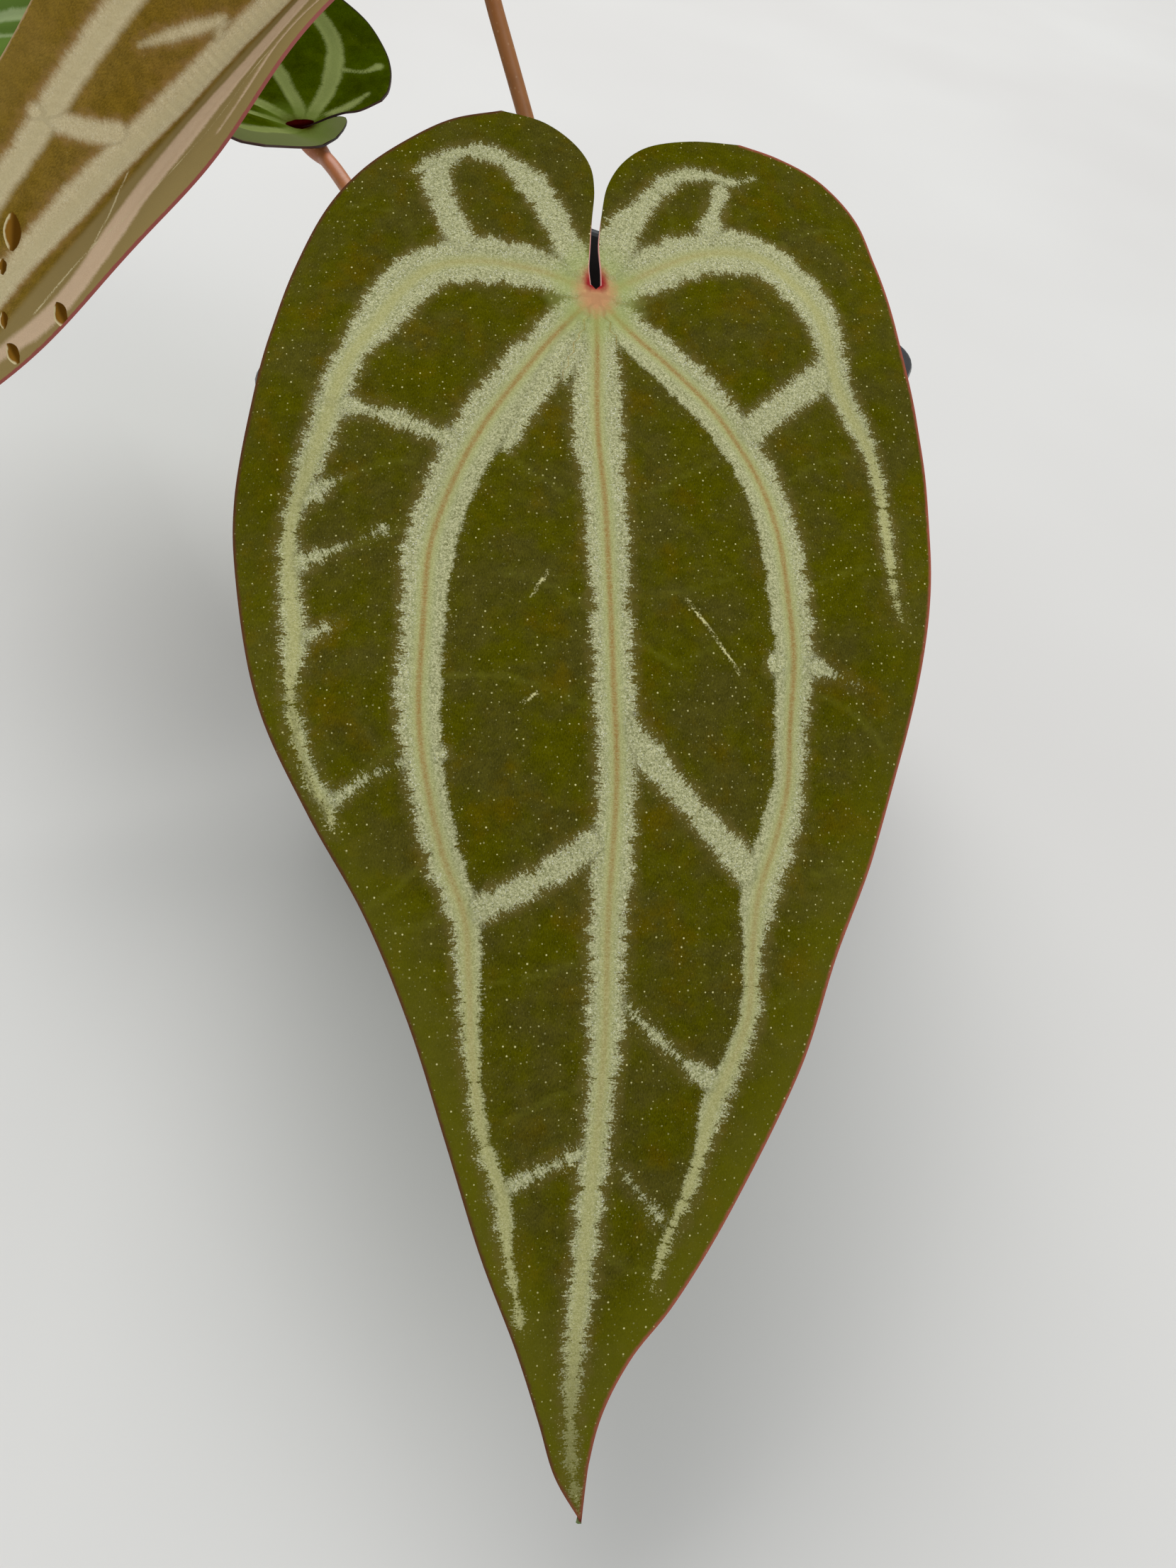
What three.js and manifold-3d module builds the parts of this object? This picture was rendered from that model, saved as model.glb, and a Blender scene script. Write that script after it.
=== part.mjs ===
import * as THREE from "three";
import { mergeVertices } from "three/addons/utils/BufferGeometryUtils.js";
import Module from "manifold-3d";

// A young anthurium hybrid with three leaves, in a square nursery pot.
// Millimetres, +Z up, the origin at the middle of the pot's base, the front towards -Y.

const clearance = 0.3; // gap between pieces that touch

const potSize = {
  height: 96,
  rimHalf: 55.5, // half the width over the rim
  rimCorner: 12.4, // radius of the rim's corners
  rimDepth: 7,
  rimTop: 3, // width of the rim's flat top
  topHalf: 52.3, // half the width of the wall just under the rim
  baseHalf: 39,
  wall: 1.8,
  floor: 2.2,
  footChamfer: 1.2,
  cornerSteps: 6,
  drainHoles: 8,
  drainRadius: 3.5,
  drainReach: 24, // distance of the drain holes from the middle
};

const mixSize = {
  top: 71, // height of the surface along the walls
  mound: 3, // how much higher it is round the crown
  moundSpread: 20,
  cells: 30, // squares of the surface along one side
  chunks: 190, // bark chunks raised from the surface
  chunkSmall: 3.5,
  chunkLarge: 8,
  chunkRise: 4.5,
  seed: 7,
};

const crownSize = {
  bottom: 58,
  top: 80,
  radius: 8,
  ringDepth: 0.8, // leaf scars
  rings: 6,
  sides: 14,
  budLength: 20, // the pointed sheath of the next leaf
  budRadius: 2.8,
  budLean: 14, // degrees
  roots: 5,
  rootRadius: 1.5,
};

const petioleSize = {
  sides: 8,
  steps: 24,
  kneeLength: 11, // the swollen joint under the blade
  kneeSwell: 0.75,
  footLength: 17, // the sheath that wraps the crown
  footSwell: 1.2,
};

const bladeSize = {
  thickness: 0.8,
  rows: 25, // from the notch to the tip
  lobeRows: 9,
  columns: [0, 0.06, 0.2, 0.38, 0.57, 0.76, 0.9, 1], // shares of each half's width
  keel: 1.1, // how far the midrib stands out below
  foldPower: 1.8,
};

// Each blade is drawn flat, x across and y along the midrib from the notch, and is then bent.
// Angles are in degrees: heading from +X, pitch down towards the tip, roll about the midrib, with twist
// added to it towards the tip.
// seat is where the stalk meets the midrib, knee how far behind and below it the stalk's last bend is.
const frontLeaf = {
  name: "front",
  junction: [4, -39.5, 128],
  heading: -62.5,
  pitchBase: 22,
  pitchTip: 44,
  length: 184,
  roll: 3,
  twist: 0,
  foldBase: 0,
  foldTip: 0,
  soft: 6,
  curl: 0.0012,
  wave: 0.5,
  waveLength: 52,
  wavePhase: 1.1,
  petioleRadius: 1.7,
  seat: 2.8,
  knee: [0, 5],
  petiole: [[0.5, -4.5, 72], [1, -7, 85], [2, -14, 100], [3, -26, 114]],
  colour: 0x4b5722,
  rightMargin: [
    [26, -33], [33, -31.6], [40.5, -28.5], [46.8, -22], [49.2, -12], [51, 6], [53.3, 18],
    [54.6, 28], [53.8, 40], [51, 56], [47.2, 73], [41.6, 90], [35, 105], [29.8, 121],
    [20.3, 140], [12, 153.5], [6.5, 160.5], [2.8, 168], [1.2, 175], [0.5, 184],
  ],
  leftMargin: [
    [-15, -34], [-23, -31.3], [-30.5, -26], [-37.5, -19.5], [-42.8, -12], [-47, -1],
    [-49.5, 12], [-51.2, 24], [-53.2, 40], [-52.6, 50], [-47.8, 71], [-40.5, 86],
    [-32.3, 100], [-25.6, 115], [-20.4, 130], [-15, 146], [-9.5, 159.5], [-6.2, 169],
    [-3.6, 177], [0.5, 184],
  ],
  rightNotch: [
    [26, -33], [17, -32], [9.3, -29.3], [5, -25.2], [2.4, -20], [1.3, -14], [0.8, -8], [0.8, 0],
  ],
  leftNotch: [
    [-15, -34], [-8, -32.3], [-3, -28.4], [-0.6, -24], [-0.6, -19], [-0.7, -13], [-0.8, -6], [-0.8, 0],
  ],
};

const bronzeLeaf = {
  name: "bronze",
  junction: [-59, 26, 164],
  heading: -112.4,
  pitchBase: 32,
  pitchTip: 37,
  length: 150,
  roll: -21,
  twist: 0,
  foldBase: 52,
  foldTip: 16,
  soft: 4,
  curl: 0,
  wave: 1.4,
  waveLength: 46,
  wavePhase: 0.6,
  petioleRadius: 1.6,
  seat: 2.8,
  knee: [0, 5],
  petiole: [[-2, 3.5, 76], [-8, 7.2, 88], [-24.6, 14.4, 113.4], [-43.6, 22.4, 140.4], [-54, 28.2, 153]],
  colour: 0x7c6730,
  rightMargin: [
    [12, -25], [19, -23], [25, -14], [28.5, 0], [30, 20], [30, 40], [28, 60], [25.5, 78],
    [22, 96], [17, 113], [11, 129], [5, 141], [0, 150],
  ],
  rightNotch: [[12, -25], [6, -22.5], [2.6, -16], [1.3, -8], [1, 0]],
};

const rearLeaf = {
  name: "rear",
  junction: [-85, 18, 111],
  heading: 168,
  pitchBase: -4,
  pitchTip: 27.5,
  length: 140,
  roll: -3,
  twist: -62,
  foldBase: 20,
  foldTip: 10,
  soft: 4,
  curl: 0,
  wave: 1.2,
  waveLength: 38,
  wavePhase: 2.2,
  petioleRadius: 1.65,
  seat: 2.8,
  knee: [7.8, 3],
  petiole: [
    [-5, -1.5, 69], [-13, -1.2, 77], [-26.4, -1.5, 86], [-45.5, 0.9, 97.5], [-62.7, 5.2, 105],
    [-74, 12.3, 107.8],
  ],
  colour: 0x3a5412,
  rightMargin: [
    [24, -12], [31, -11.7], [35.5, -7], [37.5, 2], [38.5, 14], [39, 28], [38.6, 42], [37, 56],
    [33, 72], [27, 89], [18.5, 108], [9, 126], [0, 140],
  ],
  leftMargin: [
    [-17.5, -7.8], [-20.3, -7.3], [-26.2, -3.2], [-31.8, 3.5], [-34.8, 10.1], [-35, 18],
    [-35, 25], [-35.4, 38], [-35, 52], [-32, 70], [-26.5, 88], [-18.5, 107], [-9, 126], [0, 140],
  ],
  rightNotch: [[24, -12], [13.4, -10.2], [2, -8], [-4.2, -7.2], [-8, -6], [-7, -3.5], [-3, -1.2], [0.7, 0]],
  leftNotch: [[-17.5, -7.8], [-12.2, -5.6], [-9.8, -3.6], [-6.4, -1.6], [-0.7, 0]],
};

const wasm = await Module();
wasm.setup();

const radians = THREE.MathUtils.degToRad;

// A repeatable stream of numbers from 0 to 1.
function randomStream(seed) {
  let state = seed;
  return () => {
    state = (state * 16807) % 2147483647;
    return state / 2147483647;
  };
}

// Solids and meshes

function toSolid(geometry) {
  const bare = new THREE.BufferGeometry();
  bare.setAttribute("position", geometry.getAttribute("position"));
  bare.setIndex(geometry.index);
  const merged = mergeVertices(bare, 1e-4);
  return new wasm.Manifold(
    new wasm.Mesh({
      numProp: 3,
      vertProperties: merged.attributes.position.array,
      triVerts: new Uint32Array(merged.index.array),
    }),
  );
}

function toGeometry(solid) {
  const mesh = solid.getMesh();
  const geometry = new THREE.BufferGeometry();
  geometry.setAttribute("position", new THREE.BufferAttribute(mesh.vertProperties, 3));
  geometry.setIndex(new THREE.BufferAttribute(mesh.triVerts, 1));
  geometry.computeVertexNormals();
  return geometry;
}

function indexedGeometry(points, triangles) {
  const geometry = new THREE.BufferGeometry().setFromPoints(points);
  geometry.setIndex(triangles.flat());
  return geometry;
}

function namedMesh(name, solid, colour, roughness) {
  const material = new THREE.MeshStandardMaterial({ color: colour, roughness, metalness: 0 });
  const mesh = new THREE.Mesh(toGeometry(solid), material);
  mesh.name = name;
  return mesh;
}

// A closed solid through rings of equal count, with a fan over the first and the last ring.
function loft(rings) {
  const count = rings[0].length;
  const points = rings.flat();
  const triangles = [];
  for (let ring = 0; ring + 1 < rings.length; ring++)
    for (let i = 0; i < count; i++) {
      const a = ring * count + i;
      const b = ring * count + ((i + 1) % count);
      triangles.push([a, b, b + count], [a, b + count, a + count]);
    }
  const last = (rings.length - 1) * count;
  const middles = [rings[0], rings[rings.length - 1]].map((ring) =>
    ring.reduce((sum, p) => sum.add(p), new THREE.Vector3()).divideScalar(count),
  );
  const low = points.push(middles[0]) - 1;
  const high = points.push(middles[1]) - 1;
  for (let i = 0; i < count; i++) {
    const next = (i + 1) % count;
    triangles.push([next, i, low], [last + i, last + next, high]);
  }
  return toSolid(indexedGeometry(points, triangles));
}

function tube(path, radius, sides, steps) {
  const outline = Array.from({ length: sides }, (_, i) => {
    const turn = (2 * Math.PI * i) / sides;
    return new THREE.Vector2(radius * Math.cos(turn), radius * Math.sin(turn));
  });
  const shape = new THREE.Shape(outline);
  return toSolid(new THREE.ExtrudeGeometry(shape, { steps, extrudePath: path }));
}

// A turned solid of [radius, height] pairs, standing on a point along a direction.
function turned(profile, sides, foot, direction) {
  const outline = profile.map(([r, h]) => new THREE.Vector2(r, h));
  const geometry = new THREE.LatheGeometry(outline, sides);
  const upright = new THREE.Vector3(0, 1, 0);
  geometry.applyQuaternion(new THREE.Quaternion().setFromUnitVectors(upright, direction));
  geometry.translate(foot.x, foot.y, foot.z);
  return toSolid(geometry);
}

// Pot

function roundedSquare(half, corner, z) {
  const ring = [];
  const centre = half - corner;
  for (let quarter = 0; quarter < 4; quarter++)
    for (let step = 0; step <= potSize.cornerSteps; step++) {
      const turn = ((quarter + step / potSize.cornerSteps) * Math.PI) / 2;
      const side = Math.PI / 4 + (quarter * Math.PI) / 2;
      ring.push(
        new THREE.Vector3(
          centre * Math.sign(Math.cos(side)) + corner * Math.cos(turn),
          centre * Math.sign(Math.sin(side)) + corner * Math.sin(turn),
          z,
        ),
      );
    }
  return ring;
}

function wallHalf(z) {
  const p = potSize;
  return THREE.MathUtils.mapLinear(z, 0, p.height - p.rimDepth, p.baseHalf, p.topHalf);
}

function wallCorner(half) {
  return potSize.rimCorner - 0.2 * (potSize.rimHalf - half);
}

function makePot() {
  const p = potSize;
  const skirt = p.height - p.rimDepth;
  const edge = 0.6; // rounding of the rim
  const outside = [
    [wallHalf(0) - p.footChamfer, 0],
    [wallHalf(p.footChamfer), p.footChamfer],
    [wallHalf(skirt), skirt],
    [p.rimHalf - edge, skirt + edge],
    [p.rimHalf, p.height - 2 * edge],
    [p.rimHalf - edge, p.height],
  ];
  const inside = [
    [p.rimHalf - p.rimTop, p.height],
    [p.rimHalf - p.rimTop - edge, p.height - edge],
    [wallHalf(skirt) - p.wall, skirt],
    [wallHalf(p.floor) - p.wall, p.floor],
  ];
  const outer = outside.map(([half, z]) => roundedSquare(half, wallCorner(half), z));
  const inner = inside.map(([half, z]) => roundedSquare(half, wallCorner(half + p.wall) - p.wall, z));
  let pot = loft([...outer, ...inner]);
  for (let hole = 0; hole < p.drainHoles; hole++) {
    const turn = (2 * Math.PI * (hole + 0.5)) / p.drainHoles;
    const drill = new THREE.CylinderGeometry(p.drainRadius, p.drainRadius, 4 * p.floor, 12);
    drill.rotateX(Math.PI / 2);
    drill.translate(p.drainReach * Math.cos(turn), p.drainReach * Math.sin(turn), 0);
    pot = pot.subtract(toSolid(drill));
  }
  return pot;
}

// Potting mix

// Moves a point of the square from -1 to 1 into a square with rounded corners.
function intoRoundedSquare(u, v, half, corner) {
  const flat = half - corner;
  const x = Math.abs(u) * half;
  const y = Math.abs(v) * half;
  if (x <= flat || y <= flat) return [u * half, v * half];
  const p = (x - flat) / corner;
  const q = (y - flat) / corner;
  return [
    Math.sign(u) * (flat + corner * p * Math.sqrt(1 - (q * q) / 2)),
    Math.sign(v) * (flat + corner * q * Math.sqrt(1 - (p * p) / 2)),
  ];
}

function makeChunks(half) {
  const random = randomStream(mixSize.seed);
  return Array.from({ length: mixSize.chunks }, () => ({
    x: (2 * random() - 1) * half,
    y: (2 * random() - 1) * half,
    radius: THREE.MathUtils.lerp(mixSize.chunkSmall, mixSize.chunkLarge, random() ** 2),
    rise: mixSize.chunkRise * (0.35 + 0.65 * random()),
    tiltX: 0.5 * (random() - 0.5),
    tiltY: 0.5 * (random() - 0.5),
  }));
}

function mixHeight(chunks, x, y) {
  const mound = mixSize.mound * Math.exp(-(x * x + y * y) / mixSize.moundSpread ** 2);
  let relief = 0;
  for (const chunk of chunks) {
    const dx = x - chunk.x;
    const dy = y - chunk.y;
    const away = Math.hypot(dx, dy) / chunk.radius;
    if (away < 1)
      relief = Math.max(relief, chunk.rise * (1 - away ** 4) + chunk.tiltX * dx + chunk.tiltY * dy);
  }
  return mixSize.top + mound + relief;
}

function makeMix() {
  const n = mixSize.cells;
  const half = wallHalf(mixSize.top) - potSize.wall - clearance;
  const corner = wallCorner(half);
  const chunks = makeChunks(half);
  const points = [];
  const triangles = [];
  for (let row = 0; row <= n; row++)
    for (let column = 0; column <= n; column++) {
      const [x, y] = intoRoundedSquare((2 * column) / n - 1, (2 * row) / n - 1, half, corner);
      const rim = row % n === 0 || column % n === 0;
      points.push(new THREE.Vector3(x, y, rim ? mixSize.top : mixHeight(chunks, x, y)));
    }
  const at = (row, column) => row * (n + 1) + column;
  for (let row = 0; row < n; row++)
    for (let column = 0; column < n; column++) {
      const [a, b, c, d] = [at(row, column), at(row, column + 1), at(row + 1, column + 1), at(row + 1, column)];
      triangles.push([a, b, c], [a, c, d]);
    }
  const border = [];
  for (let i = 0; i < n; i++) border.push(at(0, i));
  for (let i = 0; i < n; i++) border.push(at(i, n));
  for (let i = n; i > 0; i--) border.push(at(n, i));
  for (let i = n; i > 0; i--) border.push(at(i, 0));
  const bottom = potSize.floor + clearance;
  const shrink = (wallHalf(bottom) - potSize.wall - clearance) / half;
  const low = border.map((i) => {
    const top = points[i];
    return points.push(new THREE.Vector3(top.x * shrink, top.y * shrink, bottom)) - 1;
  });
  const middle = points.push(new THREE.Vector3(0, 0, bottom)) - 1;
  border.forEach((top, i) => {
    const next = (i + 1) % border.length;
    triangles.push([top, low[i], low[next]], [top, low[next], border[next]], [low[next], low[i], middle]);
  });
  return toSolid(indexedGeometry(points, triangles));
}

// Crown

function crownProfile(grow) {
  const c = crownSize;
  const step = (c.top - c.bottom) / c.rings;
  const profile = [[0, c.bottom - grow]];
  for (let ring = 0; ring < c.rings; ring++) {
    const z = c.bottom + ring * step;
    profile.push([c.radius - c.ringDepth + grow, z - (ring ? 0 : grow)]);
    profile.push([c.radius + grow, z + 0.6 * step]);
  }
  profile.push([c.radius - 1.5 + grow, c.top + grow]);
  profile.push([0, c.top + 2 + grow]);
  return profile;
}

function makeRoots(grow) {
  const c = crownSize;
  const roots = [];
  for (let i = 0; i < c.roots; i++) {
    const turn = radians(20 + (360 * i) / c.roots);
    const reach = 15 + 4 * Math.sin(2.4 * i + 1);
    const out = (r, z) => new THREE.Vector3(r * Math.cos(turn), r * Math.sin(turn), z);
    const path = new THREE.CatmullRomCurve3([
      out(2, c.top - 4),
      out(c.radius + 2, c.top - 0.5),
      out(reach, c.top - 3.5),
      out(reach + 3, c.top - 10 - grow),
    ]);
    roots.push(tube(path, c.rootRadius + grow, 6, 8));
  }
  return roots;
}

function makeCrown() {
  const c = crownSize;
  const foot = new THREE.Vector3(0, 0, 0);
  const lean = radians(c.budLean);
  const budWay = new THREE.Vector3(Math.sin(lean), 0, Math.cos(lean));
  const bud = turned(
    [[0, -3], [c.budRadius, 0], [c.budRadius, 0.3 * c.budLength], [0.4, c.budLength], [0, c.budLength + 0.4]],
    8,
    new THREE.Vector3(3, 1.5, c.top - 2),
    budWay,
  );
  const stem = turned(crownProfile(0), c.sides, foot, new THREE.Vector3(0, 0, 1));
  return makeRoots(0).reduce((sum, root) => sum.add(root), stem.add(bud));
}

// Leaves

// The point of a bent blade over the flat place x, y, raised by lift towards its upper face.
function bladePoint(leaf, x, y, lift = 0) {
  const heading = radians(leaf.heading);
  const ahead = new THREE.Vector3(Math.cos(heading), Math.sin(heading), 0);
  const across = new THREE.Vector3(-Math.sin(heading), Math.cos(heading), 0);
  const up = new THREE.Vector3(0, 0, 1);
  const start = radians(leaf.pitchBase);
  const bend = radians(leaf.pitchTip - leaf.pitchBase) / leaf.length;
  const pitch = start + bend * Math.max(y, 0);
  const back = Math.min(y, 0);
  const run = (Math.sin(pitch) - Math.sin(start)) / bend + back * Math.cos(start);
  const drop = (Math.cos(start) - Math.cos(pitch)) / bend + back * Math.sin(start);
  const rise = ahead.clone().multiplyScalar(Math.sin(pitch)).addScaledVector(up, Math.cos(pitch));
  const share = THREE.MathUtils.clamp(y / leaf.length, 0, 1) ** bladeSize.foldPower;
  const roll = radians(leaf.roll + leaf.twist * share);
  const side = across.clone().multiplyScalar(Math.cos(roll)).addScaledVector(rise, Math.sin(roll));
  const normal = rise.multiplyScalar(Math.cos(roll)).addScaledVector(across, -Math.sin(roll));
  const fold = radians(THREE.MathUtils.lerp(leaf.foldBase, leaf.foldTip, share));
  const crease = Math.hypot(x, leaf.soft) - leaf.soft;
  const lifted = Math.sin(fold) * crease - Math.cos(fold) * leaf.curl * x * x;
  const phase = (2 * Math.PI * y) / leaf.waveLength + leaf.wavePhase * Math.sign(x);
  const ripple = leaf.wave * Math.sin(phase) * (x / 30) ** 2;
  return new THREE.Vector3(...leaf.junction)
    .addScaledVector(ahead, run)
    .addScaledVector(up, -drop)
    .addScaledVector(side, x * Math.cos(fold))
    .addScaledVector(normal, lifted + ripple + lift);
}

function bladeNormal(leaf, x, y) {
  const e = 0.2;
  const along = bladePoint(leaf, x, y + e).sub(bladePoint(leaf, x, y - e));
  const over = bladePoint(leaf, x + e, y).sub(bladePoint(leaf, x - e, y));
  return along.cross(over).normalize();
}

// An edge is drawn from its lobe's top, so y grows along it. This gives its x at a height y.
function edgeReader(points) {
  const curve = new THREE.CatmullRomCurve3(points.map(([x, y]) => new THREE.Vector3(x, y, 0)));
  return (y) => {
    let low = 0;
    let high = 1;
    for (let i = 0; i < 40; i++) {
      const middle = (low + high) / 2;
      if (curve.getPoint(middle).y < y) low = middle;
      else high = middle;
    }
    return curve.getPoint((low + high) / 2).x;
  };
}

const mirrored = (points) => points.map(([x, y]) => [-x, y]);

// The flat places of a blade's vertices and the triangles of its upper face.
function bladeNet(leaf) {
  const places = [];
  const triangles = [];
  const shares = bladeSize.columns;
  const last = shares.length - 1;
  const mainRows = Array.from({ length: bladeSize.rows }, (_, i) => 1 + ((leaf.length - 1) * i) / bladeSize.rows);
  const spine = mainRows.map((y) => places.push([0, y]) - 1);
  const tip = places.push([leaf.rightMargin.at(-1)[0], leaf.length]) - 1;
  for (const side of [1, -1]) {
    const right = side > 0;
    const margin = right ? leaf.rightMargin : (leaf.leftMargin ?? mirrored(leaf.rightMargin));
    const notch = right ? leaf.rightNotch : (leaf.leftNotch ?? mirrored(leaf.rightNotch));
    const marginAt = edgeReader(margin);
    const notchAt = edgeReader(notch);
    const top = margin[0][1];
    const rows = [Array(shares.length).fill(places.push(margin[0]) - 1)];
    for (let i = 1; i <= bladeSize.lobeRows; i++) {
      const y = top * Math.cos((i / bladeSize.lobeRows) * (Math.PI / 2));
      rows.push(shares.map((share) => places.push([THREE.MathUtils.lerp(notchAt(y), marginAt(y), share), y]) - 1));
    }
    mainRows.forEach((y, i) => {
      const edge = marginAt(y);
      rows.push(shares.map((share, j) => (j ? places.push([share * edge, y]) - 1 : spine[i])));
    });
    rows.push(Array(shares.length).fill(tip));
    for (let row = 0; row + 1 < rows.length; row++)
      for (let j = 0; j < last; j++) {
        const [a, b, c, d] = [rows[row][j], rows[row][j + 1], rows[row + 1][j + 1], rows[row + 1][j]];
        for (const [p, q, r] of [[a, c, b], [a, d, c]])
          if (p !== q && q !== r && r !== p) triangles.push(right ? [p, q, r] : [p, r, q]);
      }
  }
  return { places, triangles };
}

// A closed sheet over the blade's net, both faces split alike.
function bladeSolid(leaf, under, over, keel) {
  const { places, triangles } = bladeNet(leaf);
  const count = places.length;
  const upper = [];
  const lower = [];
  for (const [x, y] of places) {
    const middle = bladePoint(leaf, x, y);
    const normal = bladeNormal(leaf, x, y);
    const fade = Math.min(1, Math.max(0, (y - 8) / 12)) * Math.max(0, 1 - y / leaf.length);
    const rib = x === 0 ? keel * fade : 0;
    upper.push(middle.clone().addScaledVector(normal, over));
    lower.push(middle.clone().addScaledVector(normal, -under - rib));
  }
  const faces = triangles.flatMap(([a, b, c]) => [[a, b, c], [a + count, c + count, b + count]]);
  const edges = new Set(triangles.flatMap(([a, b, c]) => [`${a} ${b}`, `${b} ${c}`, `${c} ${a}`]));
  for (const edge of edges) {
    const [a, b] = edge.split(" ").map(Number);
    if (!edges.has(`${b} ${a}`)) faces.push([b, a, a + count], [b, a + count, b + count]);
  }
  return toSolid(indexedGeometry([...upper, ...lower], faces));
}

function makePetiole(leaf, grow) {
  const s = petioleSize;
  const [back, below] = leaf.knee;
  const seat = bladePoint(leaf, 0, leaf.seat);
  const up = bladeNormal(leaf, 0, leaf.seat);
  const along = bladePoint(leaf, 0, leaf.seat + 0.2).sub(seat).normalize();
  const bend = seat.clone().addScaledVector(along, -back).addScaledVector(up, -below);
  const route = leaf.petiole.map((p) => new THREE.Vector3(...p));
  const path = new THREE.CatmullRomCurve3([...route, bend, seat]);
  const total = path.getLength();
  const frames = path.computeFrenetFrames(s.steps);
  const rings = frames.normals.map((normal, i) => {
    const share = i / s.steps;
    const middle = path.getPointAt(share);
    const foot = THREE.MathUtils.clamp((s.footLength - share * total) / (0.75 * s.footLength), 0, 1);
    const left = (1 - share) * total;
    const knee = THREE.MathUtils.clamp(Math.min((s.kneeLength - left) / 4, left / 4), 0, 1);
    const radius = leaf.petioleRadius + grow + foot * s.footSwell + knee * s.kneeSwell;
    return Array.from({ length: s.sides }, (_, side) => {
      const turn = (2 * Math.PI * side) / s.sides;
      return middle
        .clone()
        .addScaledVector(normal, radius * Math.cos(turn))
        .addScaledVector(frames.binormals[i], radius * Math.sin(turn));
    });
  });
  // the end is cut flat, just clear of the blade
  const end = seat.clone().addScaledVector(up, -bladeSize.thickness / 2 - clearance);
  return loft(rings).subtract(turned([[0, 0], [6, 0], [6, 6], [0, 6]], 12, end, up));
}

// Assembly

const plant = new THREE.Group();
const leaves = [frontLeaf, bronzeLeaf, rearLeaf];
const grown = leaves.map((leaf) => makePetiole(leaf, clearance));
const sockets = grown.reduce((sum, petiole) => sum.add(petiole));
for (const leaf of leaves) {
  const half = bladeSize.thickness / 2;
  const blade = bladeSolid(leaf, half, half, bladeSize.keel);
  plant.add(namedMesh("petiole_" + leaf.name, makePetiole(leaf, 0), 0xa5632f, 0.55));
  plant.add(namedMesh("blade_" + leaf.name, blade, leaf.colour, 0.6));
}
plant.add(namedMesh("crown", makeCrown().subtract(sockets), 0x6b4a2c, 0.8));

const crownHole = turned(
  [...crownProfile(clearance).slice(0, -2), [crownSize.radius + 1, 99], [0, 99]],
  crownSize.sides,
  new THREE.Vector3(0, 0, 0),
  new THREE.Vector3(0, 0, 1),
);
const stemHoles = makeRoots(clearance).reduce((sum, root) => sum.add(root), crownHole.add(sockets));

const root = new THREE.Group();
root.add(namedMesh("pot", makePot(), 0x1d1e21, 0.5));
root.add(namedMesh("potting_mix", makeMix().subtract(stemHoles), 0x4a3524, 0.95));
root.add(plant);

export default root;
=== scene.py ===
import math

import bpy
import numpy as np
from mathutils import Euler, Matrix, Vector
from mathutils.bvhtree import BVHTree


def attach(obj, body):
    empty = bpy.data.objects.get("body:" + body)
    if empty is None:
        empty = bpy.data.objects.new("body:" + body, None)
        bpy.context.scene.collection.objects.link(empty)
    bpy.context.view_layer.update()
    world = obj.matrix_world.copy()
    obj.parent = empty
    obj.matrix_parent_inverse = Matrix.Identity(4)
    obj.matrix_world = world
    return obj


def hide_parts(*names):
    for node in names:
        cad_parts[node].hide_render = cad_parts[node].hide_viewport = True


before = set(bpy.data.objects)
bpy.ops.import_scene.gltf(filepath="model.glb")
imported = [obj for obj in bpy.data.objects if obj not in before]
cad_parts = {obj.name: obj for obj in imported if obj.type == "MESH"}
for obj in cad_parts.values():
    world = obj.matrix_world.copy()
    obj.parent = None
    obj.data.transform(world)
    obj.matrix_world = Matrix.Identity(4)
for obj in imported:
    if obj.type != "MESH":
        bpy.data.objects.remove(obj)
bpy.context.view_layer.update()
mm = 0.001
print("frame loaded:", len(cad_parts), "nodes")


# Helpers for modelling

def deselectAll():
    if bpy.context.object and bpy.context.object.mode != "OBJECT":
        bpy.ops.object.mode_set(mode="OBJECT")
    bpy.ops.object.select_all(action="DESELECT")


def activate(piece):
    deselectAll()
    piece.select_set(True)
    bpy.context.view_layer.objects.active = piece


def nameNew(name):
    piece = bpy.context.object
    piece.name = name
    piece.data.name = name
    return piece


def applyModifier(piece, kind, **settings):
    activate(piece)
    modifier = piece.modifiers.new(kind.lower(), kind)
    for key, value in settings.items():
        setattr(modifier, key, value)
    bpy.ops.object.modifier_apply(modifier=modifier.name)


def joinAll(pieces, name):
    activate(pieces[0])
    for piece in pieces[1:]:
        piece.select_set(True)
    bpy.ops.object.join()
    return nameNew(name)


def smoothByAngle(piece, degrees):
    activate(piece)
    bpy.ops.object.shade_smooth_by_angle(angle=math.radians(degrees))


def places(piece):
    flat = np.empty(len(piece.data.vertices) * 3)
    piece.data.vertices.foreach_get("co", flat)
    return flat.reshape(-1, 3)


def movePlaces(piece, points):
    piece.data.vertices.foreach_set("co", np.asarray(points, dtype=float).ravel())
    piece.data.update()


def storeValue(piece, name, values):
    mesh = piece.data
    old = mesh.attributes.get(name)
    if old:
        mesh.attributes.remove(old)
    values = np.asarray(values, dtype=float)
    if values.ndim == 1:
        mesh.attributes.new(name, "FLOAT", "POINT").data.foreach_set("value", values)
    else:
        mesh.attributes.new(name, "FLOAT_VECTOR", "POINT").data.foreach_set("vector", values.ravel())


def finishPiece(piece, materials, replaced=()):
    piece.data.materials.clear()
    for material in materials:
        piece.data.materials.append(material)
    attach(piece, "root")
    if replaced:
        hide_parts(*replaced)


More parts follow.
